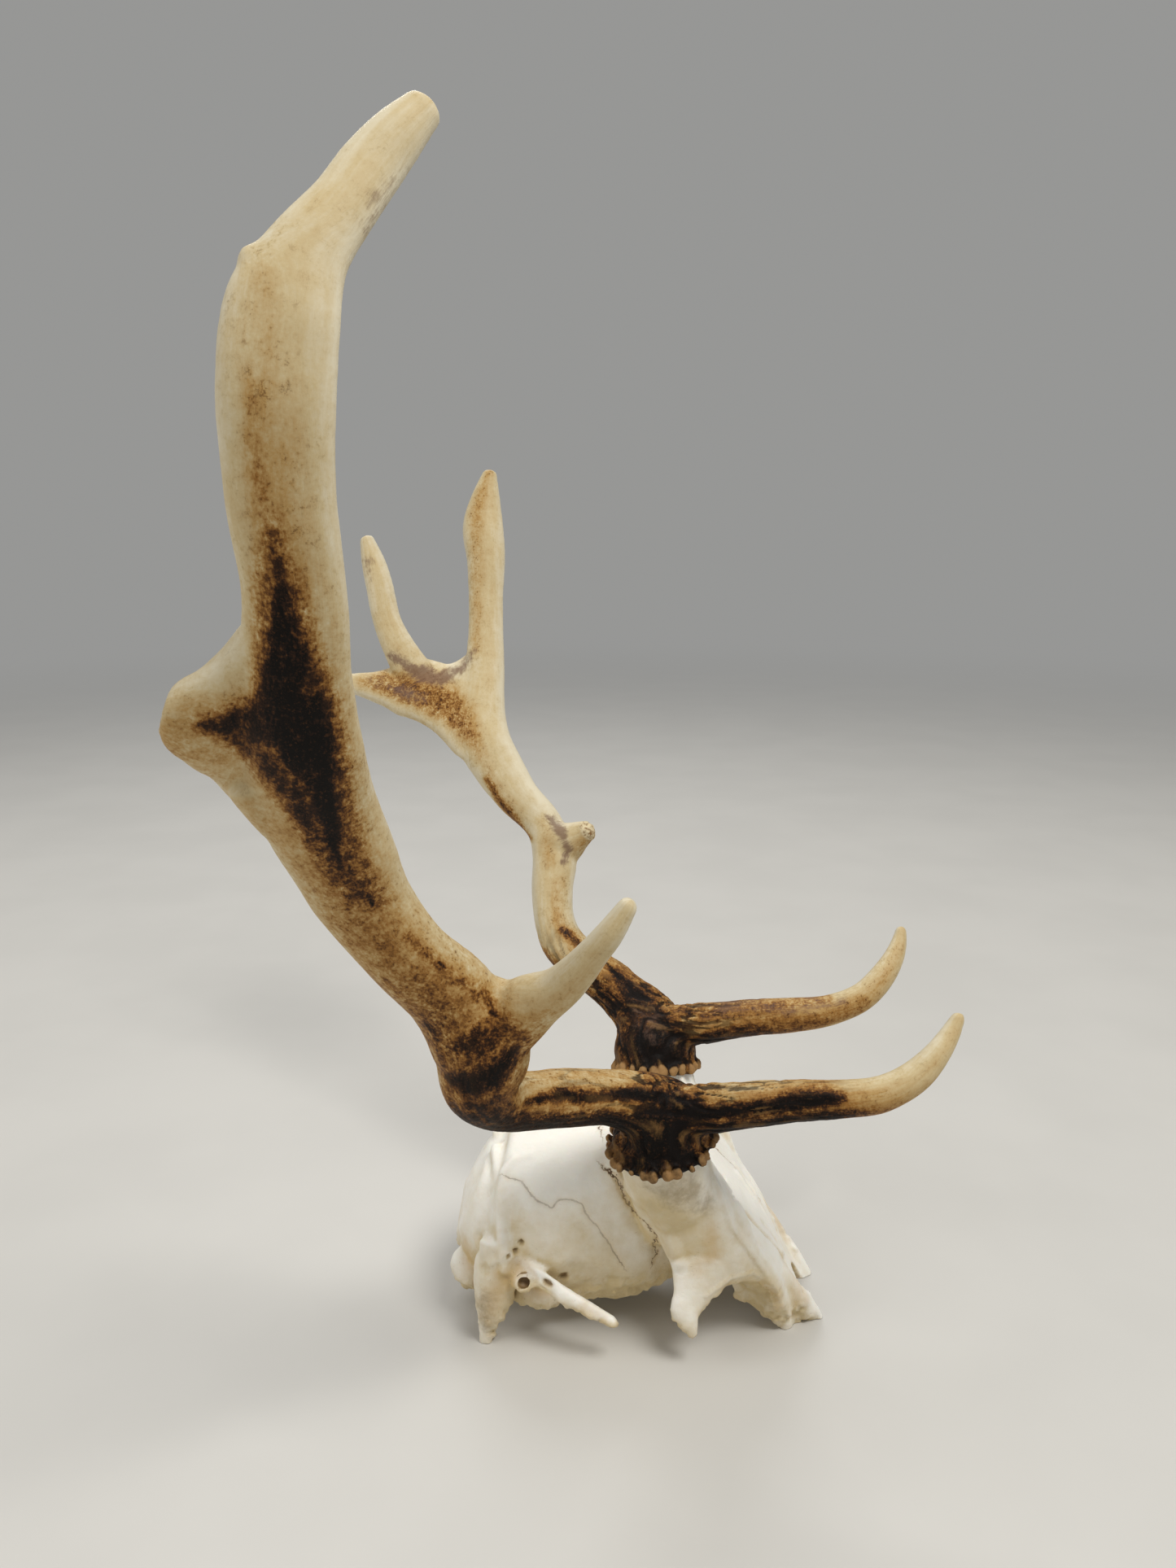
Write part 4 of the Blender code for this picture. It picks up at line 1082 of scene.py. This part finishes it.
skull = {
    "braincase": [
        (-54, 0, 59, 20, 20), (-46, 0, 56, 31, 30), (-30, 0, 54, 39, 36), (-8, 0, 53, 43, 37),
        (15, 0, 54, 44, 34), (34, 0, 57, 39, 29), (48, 0, 59, 29, 25), (58, 0, 61, 18, 20),
    ],
    "forehead": [
        (30, 0, 88, 10, 30), (42, 0, 74, 15, 38), (56, 0, 53, 19, 43), (73, 0, 38, 13, 40),
        (86, 0, 20, 9, 30), (96, 0, 5, 7, 22), (103, 0, -6, 6, 20),
    ],
    "rightSide": {
        "pedicle": [
            (46, -28, 56, 20, 13), (41, -32, 70, 20, 16), (36, -37, 84, 19, 17.5),
            (31, -42, 100, 18.5, 18), (29, -44, 112, 18.5, 18),
        ],
        "crest": [
            (-42, -6, 81.5, 3.6, 3.6), (-40, -20, 75.5, 3.4, 3.2), (-39, -28.5, 65.5, 3.2, 3),
            (-38, -34.5, 52, 3.2, 2.8), (-36, -36.5, 38, 4.4, 3.2),
        ],
        "condyle": [(-61, -13, 30, 6, 4), (-55, -13, 26, 12, 9), (-46, -12, 26, 13, 9)],
        "earSwelling": [(-32, -25, 24, 7, 6), (-21, -26, 21, 9, 8), (-8, -22, 24, 6, 6)],
        "earTube": [(-30, -30, 34, 7, 7), (-28, -41, 35, 5, 5)],
        "socketSideWall": [
            (34, -36, 90, 17, 12), (42, -38, 74, 20, 10), (54, -39.5, 56, 20, 6.5),
            (66, -39, 42, 14, 5), (76, -34.5, 31, 10.5, 4.2), (84, -29.5, 19, 7, 3.6),
            (90, -25.5, 7, 4.6, 3.2),
        ],
        "socketInnerWall": [(64, -21.5, 32, 15, 3), (78, -22, 23, 13, 3), (92, -22, 8, 9, 3)],
        "longFrontPoint": [
            (84, -23, 27, 8, 5), (95, -21, 14, 6.5, 4.5), (103, -18, 5, 5, 4),
            (109, -16, -3, 3.4, 3),
        ],
        "shortFrontPoint": [(82, -25, 20, 8, 4), (88, -24, 9, 6, 3.4), (93, -22, -4, 3.2, 3)],
    },
    # set on once the hollows are cut
    "rightPoints": {
        "neckPoint": [
            (-40, -31, 50, 9, 6), (-42, -33, 32, 10, 5), (-44, -34, 16, 7, 4), (-46, -33, 5, 4, 3),
            (-47, -33, -4, 2.6, 2.6),
        ],
        "brokenCheekBone": [
            (-32, -34, 38, 7.5, 4.5), (-24, -38, 36.5, 5.4, 3.4), (-12, -43.5, 31.5, 3.9, 2.4),
            (0, -46.5, 26.5, 2.8, 2.1), (11.5, -48, 21, 1.8, 1.7),
        ],
        "pointBehindSocket": [
            (53, -39.5, 49, 17, 6.5), (49, -42.5, 40, 13, 5), (45, -46, 31, 8, 3.8),
            (42.5, -48, 25, 6.4, 3.2), (44.5, -49.3, 20, 4, 2.6), (46.5, -50, 14.5, 1.5, 1.6),
        ],
    },
    # what is cut away: half the width and an outline in x and z, or the middle and radii of a ball
    "outlines": {
        "noseHollow": (19, [
            (50, -20), (50, 30), (56, 50), (63, 56), (71, 47),
            (81, 31), (91, 11), (97, 0), (102, -12), (102, -20),
        ]),
        "undercut": (60, [
            (90, -8), (89, 1), (84, 5), (69, 12), (66, 22), (64, 34), (52, 34), (40, 22), (40, -8),
        ]),
        "frontNotch": (60, [(97, -8), (100.5, 7), (103, -8)]),
    },
    "balls": {"nerveHole": ((-64, 0, 29), (18, 8.5, 9.5)), "noseNotch": ((104, 0, -4), (16, 12, 20))},
    "rightBalls": {
        "orbit": ((69, -48, 8), (21, 25, 29)),
        "earHole": ((-28.4, -47, 35.3), (2.6, 8, 2.6)),
    },
    "earRim": (3.1, 8.5, 3.1),  # radii of the ring of painted shade round the ear hole
    "coreVoxel": 1.4,
    "skinVoxel": 0.95,
    "rounds": 9,
    # noises: height in mm, size in mm, seed and octaves
    "uneven": ((0.45, 19.0, 31, 3), (0.14, 4.5, 32, 2)),
    "ragged": ((1.2, 3.0, 33, 2), (0.9, 7.0, 34)),
    "raggedHeights": (22.0, 42.0),  # broken bone: mm above the table
    "raggedTurn": (-0.5, 0.2),  # and how far it is turned up, -1 to 1
    "pitDepth": 1.8,
    "pitEdge": (-0.5, 0.7),  # mm inside the edge
    "earRimEdge": (0.85, 1.05),  # of its radii
    "pitsWithin": 45,  # mm from the mid-plane, short of the ends of the ear tubes
    "seamDepth": 0.6,
    "seamWidth": 0.9,
    "seamReach": (3.5, 5.0),  # mm; further off the signed gap flips
    "noSeam": 40.0,  # mm, the gap where no seam is near
    "markSoftness": 15.0,
    "turnedDown": (-0.7, 0.95),  # where painted shade yellows the bone, from -1, turned down, to 1
    # how jagged, how plain, and pixels of the photograph
    "sideSeams": {
        "coronal": (1.0, 1.0, [
            (742, 1434), (752, 1443), (760, 1450), (762, 1462), (770, 1475), (780, 1490),
            (790, 1500), (803, 1520), (803, 1535), (808, 1540), (803, 1552),
        ]),
        "temple": (0.25, 0.45, [
            (622, 1446), (640, 1452), (650, 1465), (660, 1475), (680, 1485), (686, 1475),
            (700, 1475), (715, 1480), (722, 1495), (735, 1510), (745, 1525), (765, 1555),
        ]),
    },
    # the same with x and y in mm, seen from above
    "topSeams": {
        "middle": (0.8, 0.8, [(84, 0), (60, 0), (40, 0), (20, 0), (4, 0)]),
        "crown": (1.0, 0.8, [(4, 0), (5, -9), (6, -18)]),
    },
    # height and softness in mm, and pixels of the photograph with half widths in mm
    "ridges": {
        "templeLine": (2.0, 6, [(759, 1440, 1), (795, 1480, 2), (814, 1506, 2), (832, 1550, 3)]),
        "templeGroove": (-1.2, 6, [(790, 1490, 2), (806, 1520, 3), (818, 1556, 5)]),
        "neckRidge": (
            0.9, 5, [(630, 1424, 1), (617, 1442, 2), (614, 1470, 2), (616, 1505, 2), (613, 1536, 2)],
        ),
        "crownRidge": (1.0, 5, [(618, 1442, 1), (632, 1424, 1), (652, 1418, 1)]),
        "neckHollow": (-1.5, 8, [(600, 1470, 3), (596, 1506, 4)]),
        "browRidge": (
            2.0, 3.5, [(868, 1422, 0.5), (884, 1462, 1), (900, 1506, 1), (926, 1542, 1), (954, 1585, 1)],
        ),
        "browGroove": (
            -2.4, 3,
            [(890, 1448, 0.5), (901, 1470, 0.5), (919, 1492, 0.5), (940, 1516, 0.5), (966, 1552, 0.5)],
        ),
        "browEdge": (1.8, 3, [(903, 1440, 0.5), (926, 1472, 0.5), (950, 1500, 0.5), (978, 1536, 0.5)]),
        "plateFold": (-1.6, 3, [(936, 1500, 0.5), (962, 1540, 0.5), (988, 1588, 0.5)]),
        "socketRim": (
            1.2, 3,
            [(868, 1592, 0.5), (898, 1570, 0.5), (926, 1564, 0.5), (948, 1578, 0.5), (962, 1604, 0.5)],
        ),
        "earHollow": (-1.6, 5, [(640, 1560, 5), (668, 1582, 5)]),
        "cheekHollow": (-1.5, 8, [(706, 1560, 4), (742, 1574, 5)]),
        "templeDip": (-1.0, 14, [(690, 1520, 10), (730, 1540, 8)]),
        "sideSwell": (0.9, 14, [(665, 1500, 8), (690, 1545, 6)]),
        "earCrest": (1.4, 5, [(604, 1552, 1), (622, 1542, 1), (640, 1546, 1), (662, 1564, 1)]),
        "condyleRim": (-1.8, 5, [(588, 1520, 2), (594, 1560, 2)]),
    },
    "pits": [(640, 1527, 1.2), (633, 1537, 1.0), (624, 1543, 0.8), (692, 1569, 1.9), (672, 1578, 2.4)],
    # pixels with half widths in mm: grey dust, and old grease
    "greyMarks": [[(796, 1458, 4), (838, 1466, 9), (868, 1478, 6)], [(596, 1600, 5), (594, 1636, 4)]],
    "greaseMarks": [
        [(575, 1560, 7), (572, 1530, 6)],
        [(610, 1585, 4), (640, 1560, 7), (668, 1588, 7)],
        [(616, 1568, 5), (604, 1600, 6), (598, 1625, 4)],
        [(892, 1580, 3), (920, 1574, 3), (944, 1582, 3), (958, 1606, 3)],
        [(858, 1560, 4), (878, 1540, 5), (876, 1508, 4)],
        [(720, 1605, 4), (742, 1618, 3)],
        [(960, 1545, 5), (990, 1600, 5)],
    ],
}


def drawnOut(name, halfWidth, outline):
    # an outline in x and z, drawn out to both sides of the mid-plane
    bm = bmesh.new()
    face = bm.faces.new([bm.verts.new((x, -halfWidth, z)) for x, z in outline])
    made = bmesh.ops.extrude_face_region(bm, geom=[face])["geom"]
    moved = [vert for vert in made if isinstance(vert, bmesh.types.BMVert)]
    bmesh.ops.translate(bm, verts=moved, vec=(0, 2 * halfWidth, 0))
    return meshOf(name, bm)


def ballMesh(name, centre, radii):
    bm = bmesh.new()
    addBall(bm, centre, radii)
    return meshOf(name, bm)


def bothSides(line):
    # a line found on the right side, and its mirror image
    return [line, line * np.array([1, -1, 1] + [1] * (line.shape[1] - 3))]


def addPairs(bm, lofts):
    for rows in lofts.values():
        addLoft(bm, rows)
        addLoft(bm, mirrored(rows))


def skullShape():
    bm = bmesh.new()
    for key, squareness in (("braincase", 2.7), ("forehead", 3.2)):
        addLoft(bm, skull[key], squareness=squareness, dome=0.2, sides=48)
    addPairs(bm, skull["rightSide"])
    mesh = grownTogether(meshOf("skull_cap", bm), skull["coreVoxel"])
    evenOut(mesh, skull["rounds"])
    cutters = [drawnOut(name, *shape) for name, shape in skull["outlines"].items()]
    cutters += [ballMesh(name, *ball) for name, ball in skull["balls"].items()]
    for name, ((x, y, z), radii) in skull["rightBalls"].items():
        cutters += [ballMesh(name, (x, y, z), radii), ballMesh(name, (x, -y, z), radii)]
    bm = bmesh.new()
    addPairs(bm, skull["rightPoints"])
    mesh = joinedTo(cutAway(mesh, cutters), meshOf("points", bm))
    mesh = grownTogether(mesh, skull["skinVoxel"])
    evenOut(mesh, skull["rounds"])
    for antler in (rightAntler, leftAntler):
        cutFlat(mesh, antler["burr"]["foot"], -Vector(antler["burr"]["lean"]).normalized())
    return mesh


def skullPits(points, tree):
    # small holes near the ear, and the rim of the ear hole, which the finish darkens as painted shade
    pits = np.concatenate(bothSides(onSurface(tree, skull["pits"])))
    pitted = dotted(points, pits, *skull["pitEdge"])
    x, y, z = skull["rightBalls"]["earHole"][0]
    for hole in ((x, y, z), (x, -y, z)):
        away = np.linalg.norm((points - hole) / skull["earRim"], axis=1)
        pitted = np.maximum(pitted, fadeOut(away, *skull["earRimEdge"]))
    return pitted


def skullSeams(points, normals, tree):
    # the signed gap to the nearest seam, so that the finish can draw it finer than the mesh, with
    # how jagged it is and how plainly it shows
    seam = np.full(len(points), skull["noSeam"])
    jagged = np.zeros(len(points))
    shown = np.zeros(len(points))
    lines = []
    for find, key in ((onSurface, "sideSeams"), (onTop, "topSeams")):
        for jag, show, line in skull[key].values():
            found = find(tree, [(x, y, 0.0) for x, y in line])
            lines += [(jag, show, side) for side in bothSides(found)]
    for jag, show, line in lines:
        gap, _, nearest, heading = strokeReach(points, line)
        side = np.sign(((points - nearest) * np.cross(heading, normals)).sum(1))
        closer = gap < np.abs(seam)
        seam = np.where(closer, gap * np.where(side == 0, 1, side), seam)
        jagged = np.where(closer, jag, jagged)
        shown = np.where(closer, show, shown)
    return seam, jagged, shown * fadeOut(np.abs(seam), *skull["seamReach"])


def makeSkull(material):
    mesh = skullShape()
    tree = treeOf(mesh)
    points = pointsOf(mesh)
    normals = normalsOf(mesh)
    height = unevenness(points, skull["uneven"])
    for amount, softness, line in skull["ridges"].values():
        for side in bothSides(onSurface(tree, line)):
            height += amount * painted(points, [side], softness)

    # ragged where the bone is broken off, along everything that lies low
    raw = fadeOut(points[:, 2], *skull["raggedHeights"])
    raw *= fadeOut(normals[:, 2], *skull["raggedTurn"])
    height += raw * unevenness(points, skull["ragged"])
    pitted = skullPits(points, tree)
    height -= pitted * skull["pitDepth"] * (np.abs(points[:, 1]) < skull["pitsWithin"])
    seam, jagged, shown = skullSeams(points, normals, tree)
    height -= skull["seamDepth"] * shown * np.exp(-((seam / skull["seamWidth"]) ** 2))
    movePoints(mesh, points + normals * height[:, None])

    tree = treeOf(mesh)
    marks = []
    for key in ("greyMarks", "greaseMarks"):
        lines = [side for line in skull[key] for side in bothSides(onSurface(tree, line))]
        marks.append(painted(points, lines, skull["markSoftness"]))
    # how far the bone is turned down and how closed in it is, for painted shade on the undersides and in the
    # hollows
    turned = fadeOut(normals[:, 2], *skull["turnedDown"])
    closed = shelter(tree, pointsOf(mesh), normalsOf(mesh))
    store(mesh, "seam", np.stack([seam, jagged, shown], 1))
    store(mesh, "tint", np.stack([*marks, turned], 1))
    store(mesh, "form", np.stack([raw, pitted, closed], 1))
    cutFlat(mesh, (0, 0, 0), (0, 0, 1))  # the flat feet on which it stands
    dress("skull_cap", mesh, material, ["skull"])


makeSkull(boneMaterial())

studio = {
    "floorSize": 12.0,  # m
    "floorDepth": 0.0002,
    "floor": colour(205, 203, 198),
    "floorRoughness": 0.55,
    "floorNoise": (9.0, 3.0, 0.5),  # scale, detail and roughness
    "mottle": 0.96,  # the floor's darker patches against its colour
    "backdrop": colour(206, 206, 204),
    "fade": (0.7, 3.2),  # m from the middle, where the floor melts into the backdrop
    "ambient": 0.5,
    # place and aim in metres, size in metres, watts, colour
    "lamps": {
        "keyLight": ((0.7, -0.7, 1.8), (0.0, 0.0, 0.2), 0.8, 26.0, (1.0, 0.98, 0.94)),
        "fillLight": ((-1.5, -0.6, 1.2), (0.0, 0.0, 0.2), 1.2, 10.0, (1.0, 0.98, 0.95)),
        "backLight": ((-0.3, 1.3, 1.6), (0.0, 0.0, 0.25), 0.9, 10.0, (1.0, 1.0, 1.0)),
    },
}


def makeFloor():
    bm = bmesh.new()
    bmesh.ops.create_grid(bm, x_segments=4, y_segments=4, size=studio["floorSize"] / 2)
    floor = bpy.data.objects.new("floor", meshOf("floor", bm))
    bpy.context.scene.collection.objects.link(floor)
    floor.location.z = -studio["floorDepth"]
    material, nodes, shader = newMaterial("paleFloor", {"Roughness": studio["floorRoughness"]})
    place = nodes.node("ShaderNodeTexCoord", output="Object")
    grain = nodes.noise(place, *studio["floorNoise"])
    darker = tuple(studio["mottle"] * part for part in studio["floor"][:3]) + (1.0,)
    plug(grain.ramp(0.3, 0.7).mix(darker, studio["floor"]), shader, "Base Color")
    away = nodes.node("ShaderNodeVectorMath", {"operation": "LENGTH"}, {0: place}, output="Value")
    values = {"Color": studio["backdrop"], "Strength": studio["ambient"]}
    glow = nodes.node("ShaderNodeEmission", None, values)
    far = nodes.node("ShaderNodeMixShader", None, {0: away.ramp(*studio["fade"])})
    tree = material.node_tree
    tree.links.new(shader.outputs[0], far.socket.node.inputs[1])
    tree.links.new(glow.socket, far.socket.node.inputs[2])
    tree.links.new(far.socket, tree.nodes["Material Output"].inputs["Surface"])
    floor.data.materials.append(material)


def makeSky():
    world = bpy.data.worlds.new("studio")
    world.use_nodes = True
    sky = world.node_tree.nodes["Background"]
    sky.inputs["Color"].default_value = studio["backdrop"]
    sky.inputs["Strength"].default_value = studio["ambient"]
    bpy.context.scene.world = world


def makeLamps():
    for name, (place, aim, size, watts, tone) in studio["lamps"].items():
        light = bpy.data.lights.new(name, "AREA")
        light.shape = "DISK"
        light.size = size
        light.energy = watts
        light.color = tone
        lamp = bpy.data.objects.new(name, light)
        bpy.context.scene.collection.objects.link(lamp)
        lamp.location = place
        lamp.rotation_euler = (Vector(aim) - Vector(place)).to_track_quat("-Z", "Y").to_euler()


def makeCamera():
    view = photoView
    camera = bpy.data.objects.new("camera", bpy.data.cameras.new("camera"))
    bpy.context.scene.collection.objects.link(camera)
    camera.location = (Vector(view["place"]) - Vector(middle)) * mm
    camera.rotation_euler = (math.radians(90 - view["downwards"]), 0.0, 0.0)
    camera.data.sensor_width = view["filmWidth"]
    camera.data.lens = view["focal"] * view["filmWidth"] / view["height"]
    camera.data.clip_start = view["nearest"]
    bpy.context.scene.camera = camera
    bpy.context.scene.view_settings.view_transform = "Standard"


makeFloor()
makeSky()
makeLamps()
makeCamera()
print("floor, lights and camera made")
